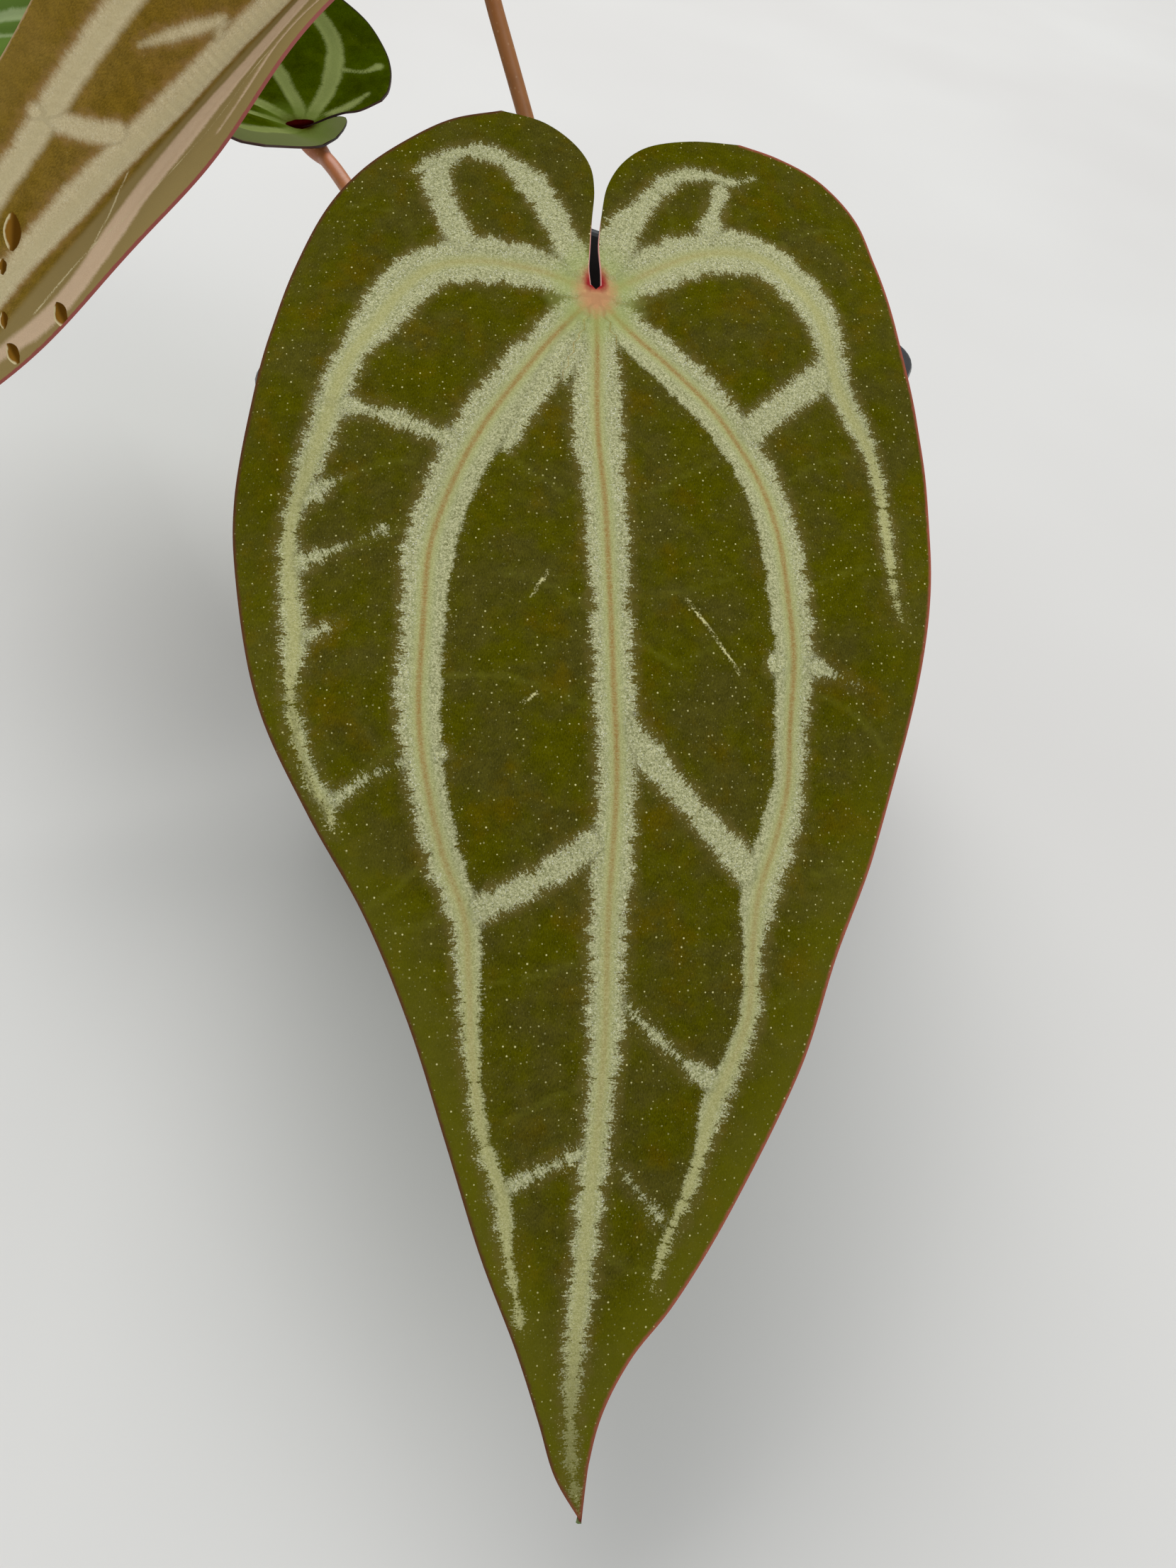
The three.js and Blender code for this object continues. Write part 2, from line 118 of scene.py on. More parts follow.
# A smooth curve through a list of points, the same as the one that the solids follow
def smoothCurve(points, perSpan):
    points = np.asarray(points, dtype=float)
    first = 2 * points[0] - points[1]
    last = 2 * points[-1] - points[-2]
    padded = np.vstack([first, points, last])
    away = np.linalg.norm(np.diff(padded[:, :3], axis=0), axis=1) ** 0.5
    away[away < 1e-4] = 1
    samples = []
    for i in range(len(points) - 1):
        a, b, c, d = padded[i:i + 4]
        before, within, after = away[i:i + 3]
        start = ((b - a) / before - (c - a) / (before + within) + (c - b) / within) * within
        end = ((c - b) / within - (d - b) / (within + after) + (d - c) / after) * within
        t = (np.arange(perSpan) / perSpan)[:, None]
        cubic = 2 * b - 2 * c + start + end
        square = -3 * b + 3 * c - 2 * start - end
        samples.append(b + start * t + square * t ** 2 + cubic * t ** 3)
    return np.vstack(samples + [points[-1:]])


# A rod of round section along a path in millimetres
def rodAlong(name, path, radius, bevelSteps=4):
    curve = bpy.data.curves.new(name, "CURVE")
    curve.dimensions = "3D"
    curve.bevel_depth = mm
    curve.bevel_resolution = bevelSteps
    curve.use_fill_caps = True
    spline = curve.splines.new("POLY")
    spline.points.add(len(path) - 1)
    for point, place, thick in zip(spline.points, path, radius):
        point.co = (*(place * mm), 1)
        point.radius = thick
    holder = bpy.data.objects.new(name, curve)
    bpy.context.collection.objects.link(holder)
    activate(holder)
    bpy.ops.object.convert(target="MESH")
    return nameNew(name)


# Helpers for materials

def feed(tree, socket, value):
    # a link from another node, a colour of three parts, or a plain value
    if isinstance(value, bpy.types.NodeSocket):
        tree.links.new(value, socket)
    elif socket.type == "RGBA":
        socket.default_value = (*value, 1)
    else:
        socket.default_value = value


def addNode(tree, kind, inputs=(), **settings):
    node = tree.nodes.new(kind)
    for key, value in settings.items():
        setattr(node, key, value)
    for key, value in dict(inputs).items():
        feed(tree, node.inputs[key], value)
    return node


def calc(tree, operation, a, b=0.0, c=0.0, clamp=False):
    node = addNode(tree, "ShaderNodeMath", {0: a, 1: b, 2: c}, operation=operation, use_clamp=clamp)
    return node.outputs[0]


def ramp(tree, value, low, high, outLow=0.0, outHigh=1.0):
    inputs = {"Value": value, "From Min": low, "From Max": high, "To Min": outLow, "To Max": outHigh}
    return addNode(tree, "ShaderNodeMapRange", inputs, interpolation_type="SMOOTHSTEP").outputs["Result"]


def mixColour(tree, share, a, b):
    node = addNode(tree, "ShaderNodeMix", data_type="RGBA")
    for index, value in ((0, share), (6, a), (7, b)):
        feed(tree, node.inputs[index], value)
    return node.outputs[2]


def readAttribute(tree, name, output="Fac"):
    return addNode(tree, "ShaderNodeAttribute", attribute_name=name).outputs[output]


def noise(tree, vector, scale, detail=2.0, roughness=0.5):
    inputs = {"Vector": vector, "Scale": scale, "Detail": detail, "Roughness": roughness}
    return addNode(tree, "ShaderNodeTexNoise", inputs).outputs["Fac"]


def cells(tree, vector, scale, output, feature="F1", dimensions="3D"):
    node = addNode(tree, "ShaderNodeTexVoronoi", {"Vector": vector, "Scale": scale},
                   feature=feature, voronoi_dimensions=dimensions)
    return node.outputs[output]


def combine(tree, x, y, z=0.0):
    return addNode(tree, "ShaderNodeCombineXYZ", {0: x, 1: y, 2: z}).outputs[0]


def colour(red, green, blue):
    # from 0 to 255 as on a screen to linear light
    shares = [tone / 255 for tone in (red, green, blue)]
    return tuple(((share + 0.055) / 1.055) ** 2.4 if share > 0.04 else share / 12.92 for share in shares)


def shade(tone, factor):
    return tuple(factor * part for part in tone)


def newMaterial(name, roughness=0.5, **constants):
    material = bpy.data.materials.new(name)
    material.use_nodes = True
    tree = material.node_tree
    shader = tree.nodes["Principled BSDF"]
    shader.inputs["Roughness"].default_value = roughness
    for key, value in constants.items():
        shader.inputs[key.replace("_", " ")].default_value = value
    return material, tree, shader


def addBump(tree, shader, height, distance, strength=1.0):
    bump = addNode(tree, "ShaderNodeBump", {"Height": height, "Distance": distance, "Strength": strength})
    tree.links.new(bump.outputs[0], shader.inputs["Normal"])


def newGroup(name, inputs, outputs):
    group = bpy.data.node_groups.new(name, "ShaderNodeTree")
    for label, kind, value in inputs:
        socket = group.interface.new_socket(label, in_out="INPUT", socket_type="NodeSocket" + kind)
        if value is not None:
            socket.default_value = value
    for label, kind in outputs:
        group.interface.new_socket(label, in_out="OUTPUT", socket_type="NodeSocket" + kind)
    inside = group.nodes.new("NodeGroupInput")
    outside = group.nodes.new("NodeGroupOutput")
    return group, inside.outputs, outside.inputs


def useGroup(tree, group, inputs):
    return addNode(tree, "ShaderNodeGroup", inputs, node_tree=group).outputs


# Blades
# Each blade is drawn flat in millimetres, x across and y along the midrib from the notch, and is then bent.
# A vein is a row of (x, y, half its width). The junction is where the stalk joins, heading is the way the
# midrib points, pitch is how steeply it hangs and fold is how far the halves are raised, all in degrees.
# The points were read off the photographed leaves through the fitted camera and then moved one by one.

frontLeaf = {
    "name": "front", "junction": (4, -39.5, 128), "heading": -62.5, "pitchBase": 22, "pitchTip": 44,
    "length": 184, "roll": 3, "twist": 0, "foldBase": 0, "foldTip": 0, "soft": 6, "curl": 0.0012,
    "wave": 0.5, "waveLength": 52, "wavePhase": 1.1,
    "rows": 215, "lobeRows": 44, "columns": 60, "seed": 3,
    "slitEnd": 0.5,
    "rightMargin": [(26, -33), (33, -31.6), (40.5, -28.5), (46.8, -22), (49.2, -12), (51, 6), (53.3, 18),
                    (54.6, 28), (53.8, 40), (51, 56), (47.2, 73), (41.6, 90), (35, 105), (29.8, 121),
                    (20.3, 140), (12, 153.5), (6.5, 160.5), (2.8, 168), (1.2, 175), (0.5, 184)],
    "leftMargin": [(-15, -34), (-23, -31.3), (-30.5, -26), (-37.5, -19.5), (-42.8, -12), (-47, -1),
                   (-49.5, 12), (-51.2, 24), (-53.2, 40), (-52.6, 50), (-47.8, 71), (-40.5, 86),
                   (-32.3, 100), (-25.6, 115), (-20.4, 130), (-15, 146), (-9.5, 159.5), (-6.2, 169),
                   (-3.6, 177), (0.5, 184)],
    "rightNotch": [(26, -33), (17, -32), (9.3, -29.3), (5, -25.2), (2.4, -20), (1.3, -14), (0.6, -8),
                   (0.8, -3), (0.8, 0)],
    "leftNotch": [(-15, -34), (-8, -32.3), (-3, -28.4), (-0.4, -24), (0.2, -19), (-0.3, -13), (-0.8, -6),
                  (-1, -3), (-0.8, 0)],
    "mainVeins": [
        [(0, 1, 2.8), (0, 12, 3.2), (-0.2, 26, 3.8), (0.8, 38, 3.1), (1.3, 50, 2.9), (1.9, 66, 2.8),
         (2.4, 80, 2.8), (1.4, 100, 2.6), (1.3, 114, 2.4), (0.9, 124, 1.9), (-0.2, 138, 1.8),
         (-1.1, 152, 1.6), (-1.8, 165, 1), (-1.2, 176, 0.5), (0.3, 183, 0.2)],
        [(-1, 3, 2.6), (-7.5, 11, 3.2), (-12.5, 18.5, 3.5), (-17.2, 26, 3.7), (-21.8, 36, 3.6),
         (-24.8, 46, 3.6), (-25.5, 58, 3.1), (-25.7, 72, 3), (-24.2, 82, 2.5), (-21.6, 92, 2.3),
         (-18.6, 100, 2.2), (-17.8, 108, 1.6), (-17, 119, 1.1), (-15.2, 130, 0.9), (-12.4, 138, 1.2),
         (-11.2, 146, 0.7), (-9, 156, 0.3)],
        [(1, 3, 2.6), (6.5, 9.5, 3.2), (11.5, 14, 3.6), (16.4, 18.8, 3.6), (21, 25, 3.2), (25, 32, 3.2),
         (27.6, 41, 3.2), (28.8, 52, 3.1), (29.3, 61, 3), (28.5, 72, 2.4), (28.2, 80, 2.4),
         (26.2, 88, 2.8), (23.4, 96, 2.7), (22.4, 104, 1.5), (22, 113, 1.4), (19.6, 120, 1.6),
         (17, 126, 1.7), (15.4, 132, 1), (13.3, 138.5, 0.8), (10.5, 145, 0.5), (9, 151, 0.2)],
        [(-2, 1, 2.8), (-8, -1.8, 3.4), (-14, -3.2, 3.9), (-20, -3.3, 4.2), (-26, -1.5, 4.2),
         (-30.5, 3, 4), (-34, 9.5, 3.2), (-36, 13, 2.6), (-38.3, 18, 2.1), (-40.8, 28, 2.2),
         (-43.2, 36, 1.6), (-45, 43, 1.2), (-44.4, 54, 1.5), (-43.4, 61, 1.6), (-43.5, 69, 0.7),
         (-41.5, 79, 0.3), (-38, 86, 0.1)],
        [(2, 1, 2.8), (6, -1.8, 3.6), (11, -5, 4.1), (17, -8.3, 4.2), (23, -9.6, 4.3), (29, -8.8, 4),
         (33.5, -4.5, 3.7), (36.8, 1, 3.3), (38.3, 7, 2.4), (39, 13, 2.2), (41.3, 18.5, 1.9),
         (44.3, 24, 1.5), (46, 31, 0.8), (46.1, 38, 1), (46.2, 49, 0.5), (47, 54, 0.1)],
    ],
    "sideVeins": [
        [(-4, 8, 3.6), (-7, 14, 2.8), (-9.4, 19.5, 2), (-11.6, 24.5, 1.4), (-14, 30, 0.8)],
        [(-2.4, 6, 2.4), (-3.6, 11, 2.4), (-4.6, 15, 1.4), (-5.2, 18.5, 0.2)],
        [(3.4, 6, 2.6), (5, 10, 1.6), (6, 13, 0.5)],
        [(-2, -1, 2.4), (-4.6, -8, 2.4), (-7.8, -15.5, 2.3), (-11.5, -21, 2), (-16, -24.5, 1.4),
         (-21, -24.5, 1.2), (-26, -21.5, 1.2), (-29, -20, 0.3)],
        [(-22.5, -24, 0.8), (-25.3, -19.5, 2.2), (-24.5, -15.5, 2.1), (-22.8, -11, 2), (-20.5, -6, 2.4)],
        [(2.5, -3, 2.6), (4.3, -10.5, 3), (7.9, -16, 1.7), (10.8, -20.3, 1.5), (15, -24, 1.1),
         (20, -25.2, 0.9), (24.5, -25, 0.7), (28, -26.5, 0.1)],
        [(22.5, -24.5, 0.8), (21.2, -20, 1.2), (20, -16, 1.5), (19.5, -11, 2.2)],
        [(-20, 30.5, 2.4), (-25.5, 28.3, 1.2), (-31, 26, 1), (-36, 24.8, 1.3), (-40, 24, 2.2)],
        [(-18, 99.5, 2), (-9, 95, 1.7), (-1, 89.5, 1.9)],
        [(-13, 137.5, 1), (-7.5, 134.5, 0.6), (-1.5, 132, 0.7)],
        [(22, 26, 2.4), (28.5, 19.8, 2), (37, 12.5, 2.4)],
        [(3.5, 72.5, 2.2), (9, 79, 1.8), (14, 84.5, 1.6), (22, 93, 2.4)],
        [(4, 112, 0.3), (10, 117.5, 0.4), (13.5, 120.3, 0.8), (17.5, 123, 1.5)],
        [(4, 134.5, 0.1), (10, 141.5, 0.4)],
        [(-43, 39, 1.4), (-40, 37, 0.9), (-38, 36, -0.1)],
        [(-43.5, 49, 1.6), (-40.8, 48, 0.9), (-37.5, 46.6, 0.1), (-31.4, 43.9, -0.2)],
        [(-43.6, 61, 1.4), (-40.5, 60, 0.8), (-38, 58.4, 0)],
        [(-43.5, 70, 0.7), (-40.6, 79, 0.6), (-37.6, 84, 1), (-32.3, 80.7, 0.2), (-27.2, 78.6, 0.6),
         (-24, 77.5, 2)],
        [(-37.6, 84, 1), (-37, 88.4, 0)],
        [(28, 62, 2.6), (32.5, 62.2, 1.4), (36, 63.3, 0.3), (39, 64.4, 0)],
    ],
    "veinlets": [
        [(-39, 37), (-33, 34), (-27, 33)], [(-40, 48), (-34, 46), (-29, 44)], [(-26, 74), (-32, 79),
                                                                               (-38, 87)],
        [(-24, 92), (-28, 96), (-32, 99)], [(-19, 100), (-24, 101), (-28, 102)],
        [(-3, 38), (-9, 35), (-14, 31)], [(-1, 56), (-8, 52), (-15, 50)],
        [(-1, 70), (-9, 67), (-16, 66), (-23, 66)], [(4, 38), (10, 35), (18, 30)], [(4, 53), (12, 52),
                                                                                    (20, 49)],
        [(6, 60), (11, 63), (17, 60)], [(31, 66), (37, 68), (44, 74)], [(31, 50), (38, 47), (44, 45)],
        [(30, 32), (36, 28), (42, 26)], [(26, 92), (32, 93), (38, 92)], [(1, 104), (-6, 107), (-15, 109)],
        [(3, 122), (-5, 124), (-13, 128)], [(21, 112), (25, 112), (29, 110)], [(2, 146), (6, 148),
                                                                               (9, 149)],
        [(-28, -8), (-33, -12), (-39, -13)], [(30, -12), (36, -16), (42, -18)], [(12, -9), (13, -14),
                                                                                 (12, -19)],
    ],
    "scars": [[(12.6, 53), (15, 56.2), (18, 60.2), (20.8, 64.2)], [(-7.6, 49.6), (-8.8, 51.4),
                                                                   (-10.2, 53.8)],
              [(-9, 68), (-10.2, 68.9), (-11.4, 69.8)]],
}

bronzeLeaf = {
    "name": "bronze", "junction": (-59, 26, 164), "heading": -112.4, "pitchBase": 32, "pitchTip": 37,
    "length": 150, "roll": -21, "twist": 0, "foldBase": 52, "foldTip": 16, "soft": 4, "curl": 0,
    "wave": 1.4, "waveLength": 46, "wavePhase": 0.6,
    "rows": 175, "lobeRows": 34, "columns": 36, "seed": 11, "slitEnd": 0.5,
    "rightMargin": [(12, -25), (19, -23), (25, -14), (28.5, 0), (30, 20), (30, 40), (28, 60), (25.5, 78),
                    (22, 96), (17, 113), (11, 129), (5, 141), (0, 150)],
    "rightNotch": [(12, -25), (6, -22.5), (2.6, -16), (1.3, -8), (1, 0)],
    "mainVeins": [
        [(0, 1, 2.8), (-0.5, 30, 3), (-1.5, 70, 2.9), (-2.5, 95, 2.8), (-2, 115, 2.1), (0, 135, 1.1),
         (0, 149, 0.3)],
        [(-1, 3, 1.9), (-8, 14, 2.1), (-14.5, 28, 2.1), (-18, 45, 2.1), (-17, 64, 2.1), (-15.4, 80.5, 2),
         (-12.9, 95.3, 1.9), (-12, 102, 1.7), (-8, 118, 1.2), (-4, 132, 0.6)],
        [(1, 3, 2), (5, 12, 2.6), (9, 26, 3.2), (10.2, 44, 3.6), (10.4, 60, 3.8), (10.4, 73, 3.8),
         (10.8, 84, 3.6), (13.4, 96, 3.4), (14, 104, 3.2), (12.4, 112, 2.8), (8, 122, 1.6),
         (3.5, 134, 0.6)],
        [(-1, 1, 2.2), (-8, -3, 2.4), (-15, -5, 2.3), (-21, 1, 2.2), (-24, 12, 2), (-25.5, 28, 1.5),
         (-25, 45, 1), (-24, 58, 0.4)],
        [(1, 1, 2.2), (8, -3, 2.4), (15, -5, 2.3), (21, 2, 2), (24.5, 16, 1.7), (23, 34, 1.1),
         (17.5, 46, 0.6), (20.5, 60, 0.6), (20.8, 70, 0.3)],
    ],
    "sideVeins": [
        [(-15, 87, 1.9), (-10, 83.9, 1.7), (-5, 80, 2)],
        [(-5.4, 52.6, 0.8), (-7.9, 57.9, 1), (-9.5, 62, 0.8), (-11.5, 67, 0.1)],
        [(-5.4, 52.6, 0.8), (-3.8, 55.4, 0.6), (-3.6, 58, 0)],
        [(-15, 28, 1.5), (-20, 27, 1), (-25, 30, 1.2)],
        [(9, 26, 1.5), (16, 27, 1), (24, 25, 1.2)],
        [(-2, -2, 1.8), (-6, -11, 1.6), (-11, -17, 1.3), (-17, -17, 1.4), (-20, -10, 1.2), (-18, -4, 1.4)],
        [(2, -2, 1.8), (6, -11, 1.6), (11, -17, 1.3), (17, -17, 1.4), (20, -10, 1.2), (18, -4, 1.4)],
    ],
    "scars": [[(17.2, 52), (17.4, 60), (17, 68), (15.6, 78), (12.4, 90), (10, 98), (8.6, 106), (8.2, 113)],
              [(1.6, 83), (4.1, 87.5), (7.1, 92), (10, 98)]],
    # dark glossy spots, painted with a shaded side, a lit side and a highlight crescent: middle x and y, half
    # the length, half the width, turn in degrees
    "spots": [(-6.7, 104.8, 3.4, 1.5, 55), (-4.4, 110.4, 1.6, 0.8, 55), (15.2, 110, 4.2, 1.5, 14),
              (2.8, 117.3, 2.2, 1, 30), (10.6, 120.5, 3.4, 1.3, 12)],
}

rearLeaf = {
    "name": "rear", "junction": (-85, 18, 111), "heading": 168, "pitchBase": -4, "pitchTip": 27.5,
    "length": 140, "roll": -3, "twist": -62, "foldBase": 20, "foldTip": 10, "soft": 4, "curl": 0,
    "wave": 1.2, "waveLength": 38, "wavePhase": 2.2,
    "rows": 210, "lobeRows": 26, "columns": 56, "seed": 23, "slitEnd": 0.5,
    "rightMargin": [(24, -12), (31, -11.7), (35.5, -7), (37.5, 2), (38.5, 14), (39, 28), (38.6, 42),
                    (37, 56), (33, 72), (27, 89), (18.5, 108), (9, 126), (0, 140)],
    "leftMargin": [(-17.5, -7.8), (-20.3, -7.3), (-26.2, -3.2), (-31.8, 3.5), (-34.8, 10.1), (-35, 18),
                   (-35, 25), (-35.4, 38), (-35, 52), (-32, 70), (-26.5, 88), (-18.5, 107), (-9, 126),
                   (0, 140)],
    "rightNotch": [(24, -12), (13.4, -10.2), (2, -8), (-4.2, -7.2), (-7.6, -6.1), (-8.8, -5), (-8.2, -3.4),
                   (-6.4, -2.2), (-3.6, -1.3), (-1.2, -0.7), (0.1, -0.2), (0.1, 0)],
    "leftNotch": [(-17.5, -7.8), (-12.2, -5.6), (-9.8, -3.4), (-6.8, -1.9), (-4, -1), (-1.6, -0.4),
                  (-0.1, -0.1), (-0.1, 0)],
    "mainVeins": [
        [(0, 3, 1.5), (0, 30, 1.7), (0, 60, 1.4), (0, 82, 0.8), (-0.6, 92, 0.5), (-1, 104, 0.4),
         (0, 139, 0.2)],
        [(-2, 2, 1.1), (-4.9, 5.2, 1.3), (-7.7, 10.2, 1.4), (-11, 16.9, 1.5), (-15, 32, 1.5),
         (-15.6, 52, 1.5), (-12.6, 74, 1.6), (-7, 90, 1.6), (-5.6, 104, 1.4), (-3, 122, 0.6)],
        [(2, 2, 1.1), (8, 10, 1.4), (13, 22, 1.5), (17, 40, 1.4), (17.6, 58, 1.4), (15.4, 76, 1.5),
         (11.6, 89, 1.5), (7.5, 106, 1), (3.5, 122, 0.5)],
        [(-2, 0.5, 1.2), (-7.3, 2.2, 1.6), (-13, 4, 1.8), (-18.6, 7, 2), (-25.2, 12.5, 1.8),
         (-28.5, 22, 1.6), (-29.5, 40, 1.1), (-27, 60, 0.7), (-22, 80, 0.3)],
        [(2, 0, 1.2), (6.3, -1.2, 1.3), (17.9, -3.6, 1.4), (26, -3, 1.3), (30, 5, 1.2), (31.5, 22, 1),
         (31, 42, 0.8), (27, 62, 0.3)],
    ],
    "sideVeins": [
        [(-7, -1, 0.5), (-11.4, -3, 0.9), (-17.5, -4, 0.3)],
        [(-19.5, 6, 0.6), (-22.5, 1.5, 0.4), (-25.5, 0, 1.2)],
        [(-15, 30, 1), (-21, 29, 0.7), (-28.5, 31, 0.9)],
        [(16, 34, 1), (23, 32, 0.7), (31, 31, 0.8)],
        [(-15.6, 54, 1), (-22, 52, 0.7), (-28, 54, 0.7)],
        [(17.6, 56, 1), (23, 53, 0.7), (29, 54, 0.6)],
        [(0, 50, 1), (-7, 48, 0.7), (-15, 46, 1)],
        [(0, 52, 1), (8, 50, 0.7), (17, 48, 1)],
    ],
    # a dark patch painted over the notch where the stalk joins: painted shade of the pit there
    "spots": [(-0.4, 1, 3.6, 2.2, 20)],
}

bladeFinish = {
    "thickness": 0.5,
    "veinGroove": 0.3,  # depth of the main veins in the upper face
    "grooveWidth": 1.5,
    "panelRise": 0.55,  # how far the skin bulges between the veins
    "panelReach": 6,
    "dimple": 0.22,
    "calmEdge": 8,  # distance from the margin over which the relief dies away
    "calmNotch": 5,
    "ribHeight": 0.9,  # of the main veins under the blade
    "ribWidth": 1.1,
    "ribFade": 8,  # distance from the stalk over which the ribs start
}


# The margin and the notch of one half. A left half without points of its own mirrors the right one.
def outlineOf(leaf, side):
    right = (leaf["rightMargin"], leaf["rightNotch"])
    if side > 0:
        return right
    if "leftMargin" in leaf:
        return leaf["leftMargin"], leaf["leftNotch"]
    return [[(-x, y) for x, y in points] for points in right]


def bendBlade(leaf, x, y, lift):
    heading = math.radians(leaf["heading"])
    ahead = np.array([math.cos(heading), math.sin(heading), 0])
    across = np.array([-math.sin(heading), math.cos(heading), 0])
    up = np.array([0, 0, 1])
    start = math.radians(leaf["pitchBase"])
    bend = math.radians(leaf["pitchTip"] - leaf["pitchBase"]) / leaf["length"]
    pitch = start + bend * np.maximum(y, 0)
    back = np.minimum(y, 0)
    run = (np.sin(pitch) - math.sin(start)) / bend + back * math.cos(start)
    drop = (math.cos(start) - np.cos(pitch)) / bend + back * math.sin(start)
    rise = np.sin(pitch)[:, None] * ahead + np.cos(pitch)[:, None] * up
    share = np.clip(y / leaf["length"], 0, 1) ** 1.8
    roll = np.radians(leaf["roll"] + leaf["twist"] * share)[:, None]
    side = np.cos(roll) * across + np.sin(roll) * rise
    normal = np.cos(roll) * rise - np.sin(roll) * across
    fold = np.radians(leaf["foldBase"] + (leaf["foldTip"] - leaf["foldBase"]) * share)
    crease = np.hypot(x, leaf["soft"]) - leaf["soft"]
    lifted = np.sin(fold) * crease - np.cos(fold) * leaf["curl"] * x * x
    phase = 2 * math.pi * y / leaf["waveLength"] + leaf["wavePhase"] * np.sign(x)
    ripple = leaf["wave"] * np.sin(phase) * (x / 30) ** 2
    middle = np.array(leaf["junction"]) + run[:, None] * ahead - drop[:, None] * up
    return middle + (x * np.cos(fold))[:, None] * side + (lifted + ripple + lift)[:, None] * normal


# One half of the flat blade, from a grid: rows run from the notch or the midrib to the margin
def halfBlade(leaf, side):
    rows = leaf["rows"] + leaf["lobeRows"]
    columns = leaf["columns"]
    deselectAll()
    bpy.ops.mesh.primitive_grid_add(x_subdivisions=columns, y_subdivisions=rows, size=1)
    half = nameNew("half")
    margin, notch = [smoothCurve(points, 40) for points in outlineOf(leaf, side)]
    grid = places(half) + 0.5
    row = np.rint(grid[:, 1] * rows).astype(int)
    lobe = np.cos(np.arange(leaf["lobeRows"]) / leaf["lobeRows"] * math.pi / 2) * margin[0, 1]
    main = np.linspace(0, leaf["length"], leaf["rows"] + 1)
    y = np.concatenate([lobe, main])[row]
    outer = np.interp(y, margin[:, 1], margin[:, 0])
    inner = np.interp(y, notch[:, 1], notch[:, 0])
    inner = np.where(y > leaf["slitEnd"], 0, inner)
    x = inner + (outer - inner) * grid[:, 0]
    movePlaces(half, np.column_stack([x, y, 0 * x]))
    if side > 0:
        activate(half)
        bpy.ops.object.mode_set(mode="EDIT")
        bpy.ops.mesh.select_all(action="SELECT")
        bpy.ops.mesh.flip_normals()
        bpy.ops.object.mode_set(mode="OBJECT")
    return half


def toLine(x, y, line):
    # signed and plain distance to a line of samples, and the nearest sample
    away = np.hypot(x[:, None] - line[None, :, 0], y[:, None] - line[None, :, 1])
    nearest = away.argmin(axis=1)
    tangent = np.gradient(line[:, :2], axis=0)
    tangent /= np.linalg.norm(tangent, axis=1)[:, None] + 1e-9
    gapX = x - line[nearest, 0]
    gapY = y - line[nearest, 1]
    signed = tangent[nearest, 0] * gapY - tangent[nearest, 1] * gapX
    ahead = tangent[nearest, 0] * gapX + tangent[nearest, 1] * gapY
    atEnd = ((nearest == 0) & (ahead < 0)) | ((nearest == len(line) - 1) & (ahead > 0))
    plain = np.where(atEnd, np.hypot(gapX, gapY), np.abs(signed))
    return signed, plain, nearest


def nearestOf(x, y, lines):
    return np.min([toLine(x, y, line)[1] for line in lines], axis=0)


def markVeins(leaf, piece, x, y):
    count = len(x)
    depth = np.full(count, -99.0)
    along = np.zeros(count)
    outward = np.zeros(count)
    lineSide = np.full(count, 99.0)
    lineFade = np.zeros(count)
    coreAway = np.full(count, 99.0)
    for index, vein in enumerate(leaf["mainVeins"] + leaf["sideVeins"]):
        line = smoothCurve(vein, 24)
        length = np.concatenate([[0], np.cumsum(np.hypot(*np.diff(line[:, :2], axis=0).T))])
        signed, plain, nearest = toLine(x, y, line)
        inside = line[nearest, 2] - plain
        better = inside > depth
        depth[better] = inside[better]
        along[better] = length[nearest][better] + 41 * index
        # the two inner veins are furry towards the midrib and glittering away from it
        side = {1: 1, 2: -1}.get(index, 0)
        outward[better] = (side * signed if side else plain)[better]
        if index < 5:
            closer = plain < coreAway
            share = length[nearest] / leaf["length"]
            # the orange line runs far along the three inner veins and only starts on the next two
            if index < 3:
                fade = np.clip((0.74 - share) / 0.34, 0, 1)
            else:
                fade = 0.5 * np.clip(1 - share / 0.16, 0, 1)
            lineSide[closer] = signed[closer]
            lineFade[closer] = fade[closer]
            coreAway[closer] = plain[closer]
    storeValue(piece, "bandDepth", depth)
    storeValue(piece, "veinAlong", along)
    storeValue(piece, "outward", outward)
    storeValue(piece, "lineSide", lineSide)
    storeValue(piece, "lineFade", lineFade)
    storeValue(piece, "coreAway", coreAway)
    for kind in ("veinlets", "scars"):
        lines = [smoothCurve([(*point, 0) for point in line], 16) for line in leaf.get(kind, [])]
        storeValue(piece, kind + "Away", nearestOf(x, y, lines) if lines else np.full(count, 99.0))
    # 0 in the middle of a spot and 1 at its edge, and which side of its middle line, which sets the painted
    # shaded and lit sides
    spotAway = np.full(count, 99.0)
    spotSide = np.zeros(count)
    for spotX, spotY, long, wide, turn in leaf.get("spots", []):
        turn = math.radians(turn)
        ahead = ((x - spotX) * math.cos(turn) + (y - spotY) * math.sin(turn)) / long
        aside = ((y - spotY) * math.cos(turn) - (x - spotX) * math.sin(turn)) / wide
        away = np.abs(ahead) ** 1.6 + np.abs(aside) ** 1.6
        spotSide = np.where(away < spotAway, aside, spotSide)
        spotAway = np.minimum(spotAway, away)
    storeValue(piece, "spotAway", spotAway)
    storeValue(piece, "spotSide", spotSide)
    return depth, coreAway


def edgeLines(leaf):
    halves = [outlineOf(leaf, side) for side in (1, -1)]
    margins = [smoothCurve(margin, 16) for margin, notch in halves]
    notches = [smoothCurve(notch, 24) for margin, notch in halves]
    notches.append(np.linspace(notches[0][-1], notches[1][-1], 9))
    return margins, notches


